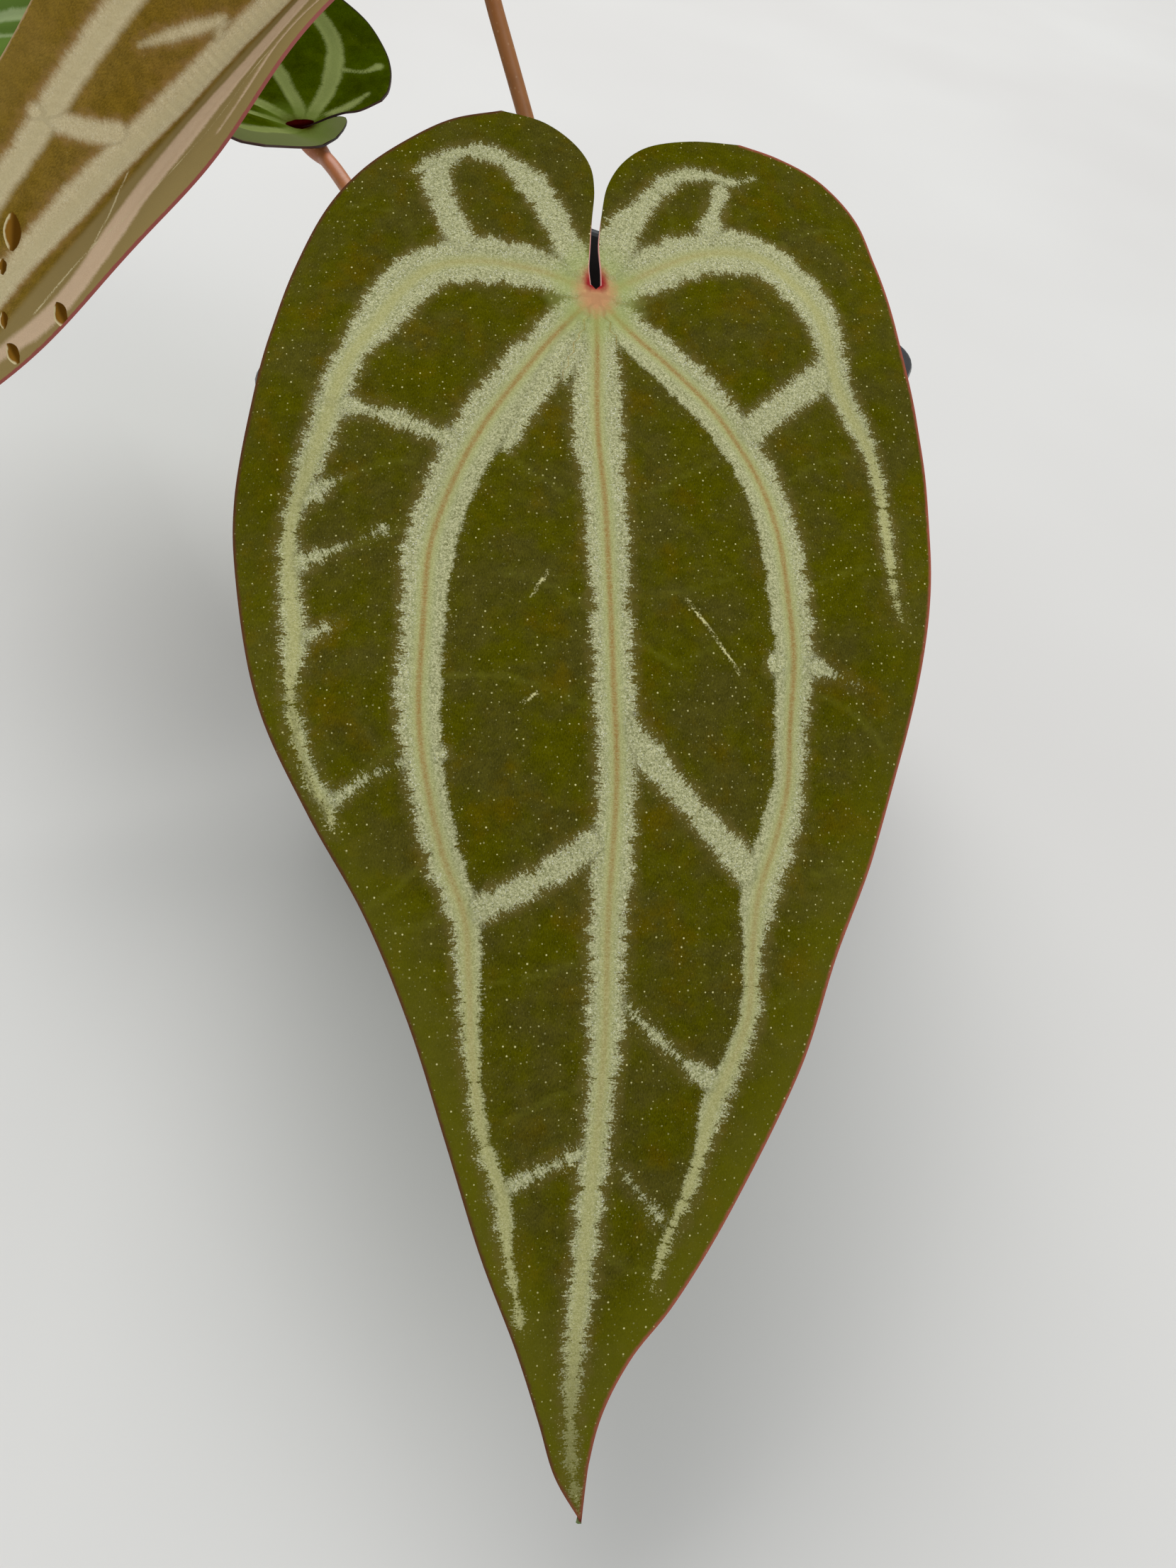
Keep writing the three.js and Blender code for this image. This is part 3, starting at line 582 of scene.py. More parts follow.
def makeBlade(leaf):
    finish = bladeFinish
    piece = joinAll([halfBlade(leaf, 1), halfBlade(leaf, -1)], "leaf_" + leaf["name"])
    activate(piece)
    bpy.ops.object.mode_set(mode="EDIT")
    bpy.ops.mesh.select_all(action="SELECT")
    bpy.ops.mesh.remove_doubles(threshold=0.02)
    bpy.ops.object.mode_set(mode="OBJECT")
    flat = places(piece)
    x, y = flat[:, 0].copy(), flat[:, 1].copy()
    storeValue(piece, "flat", flat)
    depth, coreAway = markVeins(leaf, piece, x, y)
    margins, notches = edgeLines(leaf)
    edgeAway = nearestOf(x, y, margins)
    notchAway = nearestOf(x, y, notches)
    storeValue(piece, "edgeAway", edgeAway)
    storeValue(piece, "notchAway", notchAway)
    groove = -finish["veinGroove"] * np.exp(-(coreAway / finish["grooveWidth"]) ** 2)
    panel = finish["panelRise"] * (1 - np.exp(-(np.maximum(0, -depth) / finish["panelReach"]) ** 2))
    calm = np.clip(edgeAway / finish["calmEdge"], 0, 1) * np.clip(notchAway / finish["calmNotch"], 0, 1)
    dimple = finish["dimple"] * np.sin(x / 3.1 + leaf["seed"]) * np.sin(y / 4.3 + 0.4 * leaf["seed"])
    lift = (groove + panel + dimple) * calm
    movePlaces(piece, bendBlade(leaf, x, y, lift) * mm)
    count = len(piece.data.vertices)
    # one slot each for the upper face, the underside and the edge
    for _ in range(3):
        piece.data.materials.append(None)
    applyModifier(piece, "SOLIDIFY", thickness=finish["thickness"] * mm, offset=0, use_even_offset=False,
                  material_offset=1, material_offset_rim=2)
    points = places(piece)
    under = points[count:2 * count] - points[:count]
    under /= np.linalg.norm(under, axis=1)[:, None] + 1e-12
    start = np.clip((np.hypot(x, y) - 3) / finish["ribFade"], 0, 1)
    # thinner towards the tip and towards each vein's own end
    thin = np.clip(1 - y / leaf["length"], 0.15, 1) * np.clip((depth + coreAway) / 1.5, 0, 1)
    rib = finish["ribHeight"] * np.exp(-(coreAway / finish["ribWidth"]) ** 2) * start * thin * calm
    points[count:2 * count] += under * (rib * mm)[:, None]
    movePlaces(piece, points)
    smoothByAngle(piece, 60)
    return piece


# Leaf finishes

def silverBandGroup():
    group, into, out = newGroup(
        "silverBand",
        [("Flat", "Vector", None), ("Depth", "Float", 0.0), ("Along", "Float", 0.0),
         ("Fringe", "Float", 1.0), ("Softness", "Float", 0.3)],
        [("Mask", "Float"), ("Fur", "Float"), ("Glitter", "Float"), ("Sparkle", "Float")],
    )
    times = lambda value, factor: calc(group, "MULTIPLY", value, factor)
    along, depth = into["Along"], into["Depth"]
    coarse = noise(group, combine(group, times(along, 0.2), times(depth, 0.05)), 1, 3, 0.65)
    clumps = noise(group, combine(group, times(along, 0.9), times(depth, 0.12)), 1, 1)
    comb = noise(group, combine(group, times(along, 3.2), times(depth, 0.5)), 1, 2, 0.6)
    hairs = noise(group, combine(group, times(along, 9), times(depth, 1.6)), 1, 1)
    shift = calc(group, "MULTIPLY_ADD", coarse, 4, -2)
    shift = calc(group, "ADD", shift, calc(group, "MULTIPLY_ADD", clumps, 1.8, -0.9))
    shift = calc(group, "ADD", shift, calc(group, "MULTIPLY_ADD", comb, 2.8, -1.4))
    shift = calc(group, "ADD", shift, calc(group, "MULTIPLY_ADD", hairs, 1.4, -0.7))
    dots = noise(group, into["Flat"], 3.2, 2, 0.7)
    shift = calc(group, "ADD", shift, calc(group, "MULTIPLY_ADD", dots, 3, -1.5))
    edge = calc(group, "ADD", depth, times(shift, into["Fringe"]))
    soft = into["Softness"]
    group.links.new(ramp(group, edge, times(soft, -1), soft), out["Mask"])
    strokes = noise(group, combine(group, times(along, 7.5), times(depth, 3.4)), 1, 3, 0.7)
    group.links.new(ramp(group, strokes, 0.36, 0.64), out["Fur"])
    grain = addNode(group, "ShaderNodeSeparateColor", {"Color": cells(group, into["Flat"], 5.5, "Color")})
    rough = noise(group, into["Flat"], 2.4, 4, 0.8)
    patches = times(ramp(group, rough, 0.3, 0.7), 0.45)
    group.links.new(calc(group, "MULTIPLY_ADD", grain.outputs["Red"], 0.55, patches), out["Glitter"])
    picked = ramp(group, grain.outputs["Green"], 0.84, 0.95)
    dot = ramp(group, cells(group, into["Flat"], 5.5, "Distance"), 0.6, 0.3)
    group.links.new(calc(group, "MULTIPLY", picked, dot), out["Sparkle"])
    return group


def speckGroup():
    group, into, out = newGroup(
        "lightSpecks",
        [("Flat", "Vector", None), ("Scale", "Float", 0.5), ("Size", "Float", 0.085),
         ("Amount", "Float", 0.5)],
        [("Mask", "Float")],
    )
    away = cells(group, into["Flat"], into["Scale"], "Distance", dimensions="2D")
    pick = addNode(group, "ShaderNodeSeparateColor",
                   {"Color": cells(group, into["Flat"], into["Scale"], "Color", dimensions="2D")})
    uneven = calc(group, "MULTIPLY_ADD", pick.outputs["Blue"], 0.7, 0.5)
    size = calc(group, "MULTIPLY", into["Size"], uneven)
    dot = ramp(group, away, size, calc(group, "MULTIPLY", size, 0.3))
    kept = calc(group, "LESS_THAN", pick.outputs["Red"], into["Amount"])
    light = calc(group, "MULTIPLY_ADD", calc(group, "POWER", pick.outputs["Green"], 2.6), 0.92, 0.08)
    group.links.new(calc(group, "MULTIPLY", calc(group, "MULTIPLY", dot, kept), light), out["Mask"])
    return group


def skinGroup():
    group, into, out = newGroup(
        "leafSkin",
        [("Flat", "Vector", None), ("Grey", "Color", None), ("Green", "Color", None),
         ("Warm", "Color", None)],
        [("Colour", "Color"), ("Height", "Float")],
    )
    flat = into["Flat"]
    moved = addNode(group, "ShaderNodeVectorMath", {0: flat, 1: (37, 11, 5)}, operation="ADD").outputs[0]
    patches = ramp(group, noise(group, flat, 0.09, 4, 0.6), 0.38, 0.62)
    tone = mixColour(group, patches, into["Grey"], into["Green"])
    warm = ramp(group, noise(group, moved, 0.14, 4, 0.6), 0.5, 0.72, 0, 0.8)
    tone = mixColour(group, warm, tone, into["Warm"])
    nap = addNode(group, "ShaderNodeMapping",
                  {"Vector": flat, "Rotation": (0, 0, 0.5), "Scale": (3.6, 1.5, 1)}).outputs[0]
    fine = noise(group, nap, 1.4, 4, 0.75)
    grain = calc(group, "ADD", ramp(group, fine, 0.25, 0.75, 0.62, 1.38),
                 ramp(group, noise(group, flat, 0.45, 3, 0.6), 0.3, 0.7, -0.14, 0.14))
    scaled = addNode(group, "ShaderNodeVectorMath", {0: tone, "Scale": grain}, operation="SCALE").outputs[0]
    group.links.new(scaled, out["Colour"])
    group.links.new(calc(group, "MULTIPLY_ADD", fine, 0.6, noise(group, flat, 4, 2)), out["Height"])
    return group


silverBand = silverBandGroup()
lightSpecks = speckGroup()
leafSkin = skinGroup()

# grey, green and warm mix in the skin, the mint tones are the fur of the silver bands and the grey ones their
# glitter, and side gives the blade painted sheen, lighter tones past a line across it; the paler edge tone is
# a painted glow and the lobe tone of the rear leaf a painted sheen
leafFinishes = {
    "front": {
        "grey": colour(82, 77, 24), "green": colour(82, 80, 2), "warm": colour(94, 80, 2),
        "mintDark": colour(150, 158, 96), "mintLight": colour(214, 220, 162),
        "greyDark": colour(112, 116, 60), "greyLight": colour(238, 236, 186),
        "sparkle": colour(255, 255, 240), "line": colour(166, 112, 50), "halo": colour(196, 188, 112),
        "mint": colour(170, 184, 104), "salmon": colour(226, 160, 118), "crimson": colour(176, 44, 50),
        "cutEdge": colour(244, 176, 166), "marginLeft": colour(96, 54, 40),
        "marginRight": colour(174, 92, 78), "outside": colour(110, 98, 48),
        "paintedEdgeGlow": colour(106, 104, 22), "marginReach": 0.95, "veinlet": colour(122, 122, 40),
        "speck": colour(236, 230, 164), "scar": colour(236, 230, 168), "fringe": 0.75, "softness": 0.3,
        "furShare": 0.75, "specks": 0.72, "lineShare": 0.72, "rough": 0.7,
        "spotShadedTone": colour(96, 62, 14), "spotLitTone": colour(148, 104, 34), "crescentHighlight": 0,
    },
    "bronze": {
        "grey": colour(138, 112, 46), "green": colour(132, 106, 34), "warm": colour(144, 114, 50),
        "mintDark": colour(212, 196, 146), "mintLight": colour(238, 224, 180),
        "greyDark": colour(210, 192, 146), "greyLight": colour(244, 230, 188),
        "sparkle": colour(250, 242, 214), "line": colour(222, 204, 156), "halo": colour(218, 204, 158),
        "mint": colour(204, 194, 146), "salmon": colour(214, 140, 106), "crimson": colour(172, 56, 70),
        "cutEdge": colour(222, 160, 140), "marginLeft": colour(196, 166, 128),
        "marginRight": colour(158, 84, 74), "outside": colour(166, 130, 82),
        "paintedEdgeGlow": colour(150, 124, 62), "marginReach": 0.6, "veinlet": colour(176, 156, 96),
        "speck": colour(176, 156, 96), "scar": colour(226, 210, 166), "fringe": 0.26, "softness": 0.85,
        "furShare": 0.3, "specks": 0.08, "lineShare": 0.25, "rough": 0.5,
        "spotShadedTone": colour(96, 62, 14), "spotLitTone": colour(148, 104, 34), "crescentHighlight": 0.85,
        # painted sheen: past the crease by the midrib the strip is paler, the look of the blade seen at a
        # grazing angle
        "side": {"axis": "X", "from": 2.5, "to": 5,
                 "skin": colour(158, 138, 90), "band": colour(228, 196, 164)},
    },
    "rear": {
        "grey": colour(50, 60, 0), "green": colour(58, 72, 0), "warm": colour(70, 82, 0),
        "mintDark": colour(136, 148, 82), "mintLight": colour(152, 164, 96),
        "greyDark": colour(134, 146, 82), "greyLight": colour(154, 166, 98),
        "sparkle": colour(150, 164, 110), "line": colour(130, 138, 76), "halo": colour(122, 136, 72),
        # on this leaf the crimson and cutEdge tones are painted shade, the dark of the shaded notch
        "mint": colour(92, 112, 34), "salmon": colour(74, 80, 20), "crimson": colour(36, 4, 4),
        "cutEdge": colour(36, 6, 6), "marginLeft": colour(58, 46, 42),
        "marginRight": colour(104, 82, 70), "outside": colour(66, 80, 0), "paintedEdgeGlow": colour(70, 86, 10),
        "marginReach": 0.7, "veinlet": colour(90, 108, 30), "speck": colour(100, 116, 60),
        "scar": colour(100, 116, 60), "fringe": 0.2, "softness": 0.6, "furShare": 0.15, "specks": 0.05,
        "lineShare": 0, "rough": 0.5, "spotShadedTone": colour(26, 0, 0), "spotLitTone": colour(52, 6, 4),
        # lobe is a painted sheen on the front lobe
        "crescentHighlight": 0, "lobe": colour(116, 124, 78),
        # painted light: the far half of the twisted blade is a lighter green, where it turns towards the
        # light
        "side": {"axis": "Y", "from": 66, "to": 104,
                 "skin": colour(106, 134, 60), "band": colour(174, 192, 138)},
    },
}


# the blushed oval where the stalk joins, on the flat blade
leafSeat = {"middle": 1.4, "halfWidth": 3, "halfLength": 3.8}


def upperLeafMaterial(name):
    look = leafFinishes[name]
    material, tree, shader = newMaterial("upper_" + name, look["rough"], Specular_IOR_Level=0)
    times = lambda a, b: calc(tree, "MULTIPLY", a, b)
    flat = readAttribute(tree, "flat", "Vector")
    depth = readAttribute(tree, "bandDepth")
    along = readAttribute(tree, "veinAlong")
    outward = readAttribute(tree, "outward")
    place = addNode(tree, "ShaderNodeSeparateXYZ", {0: flat}).outputs
    skin = useGroup(tree, leafSkin,
                    {"Flat": flat, "Grey": look["grey"], "Green": look["green"], "Warm": look["warm"]})
    fringe = ramp(tree, outward, -1.5, 1.5, 0.7 * look["fringe"], 1.35 * look["fringe"])
    band = useGroup(tree, silverBand, {"Flat": flat, "Depth": depth, "Along": along,
                                       "Fringe": fringe, "Softness": look["softness"]})
    specks = {"Flat": flat, "Amount": look["specks"]}
    wide = useGroup(tree, lightSpecks, {**specks, "Scale": 0.8, "Size": 0.13})
    close = useGroup(tree, lightSpecks, {**specks, "Scale": 1.9, "Size": 0.17})
    # the skin between the veins
    veinlet = ramp(tree, calc(tree, "MULTIPLY_ADD", noise(tree, flat, 0.8, 3), 1.6,
                              readAttribute(tree, "veinletsAway")), 1.7, 0.7, 0, 0.24)
    base = mixColour(tree, veinlet, skin["Colour"], look["veinlet"])
    edgeAway = readAttribute(tree, "edgeAway")
    # painted glow: the skin is lightened within 10 mm of the margin, more strongly towards the tip
    paintedEdgeGlow = times(ramp(tree, edgeAway, 10, 1), ramp(tree, place["Y"], 30, 150, 0.1, 0.6))
    base = mixColour(tree, paintedEdgeGlow, base, look["paintedEdgeGlow"])
    nearBand = times(ramp(tree, calc(tree, "MULTIPLY_ADD", noise(tree, flat, 0.6, 3), 3, depth), -0.6, 1.8),
                     ramp(tree, outward, 0, 2, 0.12, 0.7))
    base = mixColour(tree, nearBand, base, look["outside"])
    base = mixColour(tree, wide["Mask"], base, look["speck"])
    base = mixColour(tree, times(close["Mask"], ramp(tree, depth, -2.6, 0.3, 0.12, 1)), base, look["speck"])
    # the silver bands
    fur = mixColour(tree, band["Fur"], look["mintDark"], look["mintLight"])
    grit = mixColour(tree, band["Glitter"], look["greyDark"], look["greyLight"])
    sparkle = times(band["Sparkle"], ramp(tree, outward, -1, 1.5, 0.15, 0.8))
    grit = mixColour(tree, sparkle, grit, look["sparkle"])
    coreAway = calc(tree, "MULTIPLY_ADD", noise(tree, flat, 0.9, 2), 1.2, readAttribute(tree, "coreAway"))
    lineSide = calc(tree, "ABSOLUTE", readAttribute(tree, "lineSide"))
    lineFade = readAttribute(tree, "lineFade")
    furred = times(calc(tree, "MULTIPLY_ADD", lineFade, 0.6, 0.4), look["furShare"])
    silver = mixColour(tree, times(ramp(tree, coreAway, 2.7, 1), furred), grit, fur)
    halo = times(ramp(tree, lineSide, 1.7, 0.2), 0.4)
    silver = mixColour(tree, halo, silver, look["halo"])
    wobble = noise(tree, combine(tree, times(along, 1.4), 0.0), 1, 3)
    wobble = calc(tree, "MULTIPLY_ADD", wobble, 0.5, -0.25)
    lineMask = times(ramp(tree, calc(tree, "ADD", lineSide, wobble), 0.75, 0.05), lineFade)
    lineMask = times(lineMask, ramp(tree, band["Glitter"], 0.1, 0.8, 1, 0.55))
    silver = mixColour(tree, times(lineMask, look["lineShare"]), silver, look["line"])
    tipFade = ramp(tree, place["Y"], 150, 176, 1, 0.45)
    # painted sheen: the rear leaf's front lobe is lightened to a pale grey-green
    if "lobe" in look:
        lobeSheenMask = times(ramp(tree, place["Y"], -0.8, -3), ramp(tree, place["X"], -9.6, -9))
        base = mixColour(tree, times(lobeSheenMask, 0.8), base, look["lobe"])
    # painted sheen: past the given line the skin and the bands are mixed towards lighter tones
    if "side" in look:
        side = look["side"]
        sideMask = ramp(tree, place[side["axis"]], side["from"], side["to"])
        base = mixColour(tree, times(sideMask, 0.85), base, side["skin"])
        silver = mixColour(tree, times(sideMask, 0.85), silver, side["band"])
    leaf = mixColour(tree, times(band["Mask"], tipFade), base, silver)
    scarAway = calc(tree, "MULTIPLY_ADD", noise(tree, flat, 3.4, 2), 0.9, readAttribute(tree, "scarsAway"))
    leaf = mixColour(tree, ramp(tree, scarAway, 0.8, 0.5, 0, 0.8), leaf, look["scar"])
    # where the stalk sits
    spread = calc(tree, "MULTIPLY_ADD", noise(tree, flat, 0.5, 3), 4, -2)
    seatX = calc(tree, "DIVIDE", place["X"], leafSeat["halfWidth"])
    seatY = calc(tree, "SUBTRACT", place["Y"], leafSeat["middle"])
    seatY = calc(tree, "DIVIDE", seatY, leafSeat["halfLength"])
    seatAway = calc(tree, "SQRT", calc(tree, "ADD", times(seatX, seatX), times(seatY, seatY)))
    around = calc(tree, "ADD", times(seatAway, 3.2), spread)
    leaf = mixColour(tree, times(ramp(tree, around, 10, 4), 0.55), leaf, look["mint"])
    blush = calc(tree, "MULTIPLY_ADD", noise(tree, flat, 1.4, 3), 0.6, seatAway)
    leaf = mixColour(tree, ramp(tree, blush, 1.85, 0.7, 0, 0.85), leaf, look["salmon"])
    # towards the notch the crimson and then the cut edge tones; on the rear leaf both are painted notch shade
    notchAway = readAttribute(tree, "notchAway")
    deep = ramp(tree, calc(tree, "MULTIPLY_ADD", noise(tree, flat, 1.2, 2), 0.6, notchAway), 2, 0.6)
    leaf = mixColour(tree, times(deep, ramp(tree, seatAway, 1.7, 0.6)), leaf, look["crimson"])
    rim = times(ramp(tree, notchAway, 0.16, 0.08), ramp(tree, seatAway, 4, 2.5))
    leaf = mixColour(tree, rim, leaf, look["cutEdge"])
    sideShare = ramp(tree, place["X"], -6, 6)
    margin = mixColour(tree, sideShare, look["marginLeft"], look["marginRight"])
    ragged = calc(tree, "MULTIPLY_ADD", noise(tree, flat, 0.9, 3), 0.5, edgeAway)
    leaf = mixColour(tree, ramp(tree, ragged, look["marginReach"], 0.3, 0, 0.9), leaf, margin)
    # painted light on the spots: a shaded side, a lit side and a painted highlight crescent at the edge
    spotAway = readAttribute(tree, "spotAway")
    spotSide = readAttribute(tree, "spotSide")
    spotTone = mixColour(tree, ramp(tree, spotSide, -0.3, 0.4), look["spotShadedTone"], look["spotLitTone"])
    crescentHighlight = times(ramp(tree, spotAway, 0.55, 0.8), ramp(tree, spotSide, 0.1, 0.4))
    spotTone = mixColour(tree, times(crescentHighlight, look["crescentHighlight"]), spotTone, colour(240, 226, 178))
    leaf = mixColour(tree, ramp(tree, spotAway, 1, 0.9), leaf, spotTone)
    tree.links.new(leaf, shader.inputs["Base Color"])
    relief = times(calc(tree, "ADD", band["Glitter"], band["Fur"]), band["Mask"])
    addBump(tree, shader, calc(tree, "ADD", skin["Height"], relief), 0.1 * mm, 0.5)
    return material


def underLeafMaterial(name, skinTone, veinTone):
    material, tree, shader = newMaterial("under_" + name, 0.55, Specular_IOR_Level=0.3)
    flat = readAttribute(tree, "flat", "Vector")
    skin = useGroup(tree, leafSkin, {"Flat": flat, "Grey": shade(skinTone, 0.85), "Green": skinTone,
                                     "Warm": shade(skinTone, 1.15)})
    depth = readAttribute(tree, "bandDepth")
    veinMask = ramp(tree, readAttribute(tree, "coreAway"), 1.8, 0.6)
    veinMask = calc(tree, "MULTIPLY", veinMask, ramp(tree, depth, -0.4, 0.6))
    sideMask = calc(tree, "MULTIPLY", ramp(tree, depth, 0, 1.6), 0.4)
    net = cells(tree, flat, 0.22, "Distance", "DISTANCE_TO_EDGE", "2D")
    netMask = calc(tree, "MULTIPLY", ramp(tree, net, 0.09, 0.02), 0.35)
    share = calc(tree, "MAXIMUM", calc(tree, "MAXIMUM", veinMask, sideMask), netMask)
    tree.links.new(mixColour(tree, share, skin["Colour"], veinTone), shader.inputs["Base Color"])
    addBump(tree, shader, calc(tree, "ADD", skin["Height"], netMask), 0.2 * mm, 0.5)
    return material


def rimLeafMaterial(name, tone):
    material, tree, shader = newMaterial("rim_" + name, 0.5)
    flat = readAttribute(tree, "flat", "Vector")
    reach = addNode(tree, "ShaderNodeVectorMath", {0: flat}, operation="LENGTH").outputs["Value"]
    # near the notch the edge takes the cut edge tone, which on the rear leaf is painted shade
    notchMask = ramp(tree, reach, 16, 8)
    rim = mixColour(tree, notchMask, tone, leafFinishes[name]["cutEdge"])
    blotch = calc(tree, "MULTIPLY", noise(tree, flat, 0.3, 3), 0.4)
    rim = mixColour(tree, blotch, rim, shade(tone, 0.5))
    tree.links.new(rim, shader.inputs["Base Color"])
    return material


undersides = {
    "front": {"skin": colour(112, 128, 74), "vein": colour(150, 158, 104), "edge": colour(150, 86, 74)},
    "bronze": {"skin": colour(150, 112, 74), "vein": colour(196, 158, 116), "edge": colour(172, 84, 74)},
    "rear": {"skin": colour(104, 132, 70), "vein": colour(146, 162, 100), "edge": colour(88, 62, 56)},
}


def makeLeaves():
    for leaf in (frontLeaf, bronzeLeaf, rearLeaf):
        name = leaf["name"]
        under = undersides[name]
        piece = makeBlade(leaf)
        materials = [upperLeafMaterial(name), underLeafMaterial(name, under["skin"], under["vein"]),
                     rimLeafMaterial(name, under["edge"])]
        indices = np.empty(len(piece.data.polygons), dtype=np.int32)
        piece.data.polygons.foreach_get("material_index", indices)
        finishPiece(piece, materials, ["blade_" + name])
        piece.data.polygons.foreach_set("material_index", indices)
        print("leaf", name, "faces", len(piece.data.polygons))


makeLeaves()


# Stalks

stalks = {
    "bevelSteps": 6,
    "kneeLength": 11, "kneeSwell": 0.75, "footLength": 17, "footSwell": 1.2,
    "front": {"leaf": frontLeaf, "radius": 1.7, "seat": 2.8, "knee": (0, 5),
              "tones": (colour(128, 104, 58), colour(176, 112, 62), colour(196, 122, 84)),
              "route": [(0.5, -4.5, 72), (1, -7, 85), (2, -14, 100), (3, -26, 114)]},
    "bronze": {"leaf": bronzeLeaf, "radius": 1.6, "seat": 2.8, "knee": (0, 5),
               "tones": (colour(136, 104, 58), colour(176, 116, 64), colour(184, 110, 70)),
               "route": [(-2, 3.5, 76), (-8, 7.2, 88), (-24.6, 14.4, 113.4), (-43.6, 22.4, 140.4),
                         (-54, 28.2, 153)]},
    "rear": {"leaf": rearLeaf, "radius": 1.65, "seat": 2.8, "knee": (7.8, 3),
             "tones": (colour(136, 108, 62), colour(196, 126, 76), colour(190, 112, 74)),
             "route": [(-5, -1.5, 69), (-13, -1.2, 77), (-26.4, -1.5, 86), (-45.5, 0.9, 97.5),
                       (-62.7, 5.2, 105), (-74, 12.3, 107.8)]},
}


def bladeSeat(leaf, seat):
    at = lambda x, y: bendBlade(leaf, np.array([x]), np.array([y]), 0)[0]
    middle = at(0.0, seat)
    along = at(0.0, seat + 0.2) - at(0.0, seat - 0.2)
    over = at(0.2, seat) - at(-0.2, seat)
    normal = np.cross(along, over)
    return middle, along / np.linalg.norm(along), normal / np.linalg.norm(normal)


def makeStalk(name, material):
    spec = stalks[name]
    seat, along, normal = bladeSeat(spec["leaf"], spec["seat"])
    back, below = spec["knee"]
    end = seat - normal * (bladeFinish["thickness"] / 2 + 0.05)
    route = spec["route"] + [tuple(seat - back * along - below * normal), tuple(end)]
    path = smoothCurve(route, 14)
    length = np.concatenate([[0], np.cumsum(np.linalg.norm(np.diff(path, axis=0), axis=1))])
    total = length[-1]
    radius = np.full(len(path), spec["radius"])
    knee = np.clip((length - total + stalks["kneeLength"]) / stalks["kneeLength"], 0, 1)
    radius += stalks["kneeSwell"] * np.sin(math.pi * np.minimum(knee * 1.15, 1) ** 1.3)
    foot = np.clip(1 - length / stalks["footLength"], 0, 1)
    radius += stalks["footSwell"] * foot ** 1.2
    piece = rodAlong("stalk_" + name, path, radius, stalks["bevelSteps"])
    points = places(piece) / mm
    nearest = np.linalg.norm(points[:, None] - path[None], axis=2).argmin(axis=1)
    # the end lies flat against the blade
    over = (points - seat) @ normal + bladeFinish["thickness"] / 2 + 0.1
    over = np.where(np.linalg.norm(points - seat, axis=1) < 8, np.maximum(over, 0), 0)
    movePlaces(piece, (points - over[:, None] * normal) * mm)
    storeValue(piece, "stalkShare", length[nearest] / total)
    storeValue(piece, "stalkLength", length[nearest])
    smoothByAngle(piece, 50)
    finishPiece(piece, [material], ["petiole_" + name])


def stalkMaterial(name, low, middle, high):
    material, tree, shader = newMaterial("stalk_" + name, 0.42, Specular_IOR_Level=0.4)
    share = readAttribute(tree, "stalkShare")
    place = addNode(tree, "ShaderNodeTexCoord").outputs["Object"]
    length = readAttribute(tree, "stalkLength")
    tone = mixColour(tree, ramp(tree, share, 0, 0.4), low, middle)
    tone = mixColour(tree, ramp(tree, share, 0.7, 0.93), tone, high)
    # painted shade: the top end turns near black, the shade of the pit under the notch
    tone = mixColour(tree, ramp(tree, share, 0.965, 0.99), tone, colour(44, 10, 8))
    streak = noise(tree, place, 260, 3, 0.6)
    tone = mixColour(tree, ramp(tree, streak, 0.4, 0.75, 0, 0.35), tone, shade(middle, 0.55))
    dots = cells(tree, place, 700, "Distance")
    tone = mixColour(tree, ramp(tree, dots, 0.2, 0.08, 0, 0.3), tone, colour(222, 186, 140))
    tree.links.new(tone, shader.inputs["Base Color"])
    rings = noise(tree, combine(tree, length, 0.0), 0.8, 3)
    addBump(tree, shader, calc(tree, "ADD", streak, rings), 0.15 * mm, 0.5)
    return material


def makeStalks():
    for name in ("front", "bronze", "rear"):
        makeStalk(name, stalkMaterial(name, *stalks[name]["tones"]))
    print("stalks made")


makeStalks()


# Pot

potSize = {
    "height": 96, "topHalf": 52.3, "baseHalf": 39, "wall": 1.8, "floor": 2.2,
    "rimHalf": 55.5, "rimCorner": 12.4, "rimDepth": 7, "rimTop": 3, "cornerSteps": 9,
    "drainHoles": 8, "drainRadius": 3.5, "drainReach": 24,
}


def wallHalf(z):
    p = potSize
    return p["baseHalf"] + (p["topHalf"] - p["baseHalf"]) * z / (p["height"] - p["rimDepth"])


# Extrudes the selected face up through a profile of half widths and heights
def raiseProfile(profile):
    half, z = profile[0]
    for nextHalf, nextZ in profile[1:]:
        bpy.ops.mesh.extrude_region_move(TRANSFORM_OT_translate={"value": (0, 0, (nextZ - z) * mm)})
        share = nextHalf / half
        bpy.ops.transform.resize(value=(share, share, 1), center_override=(0, 0, nextZ * mm))
        half, z = nextHalf, nextZ


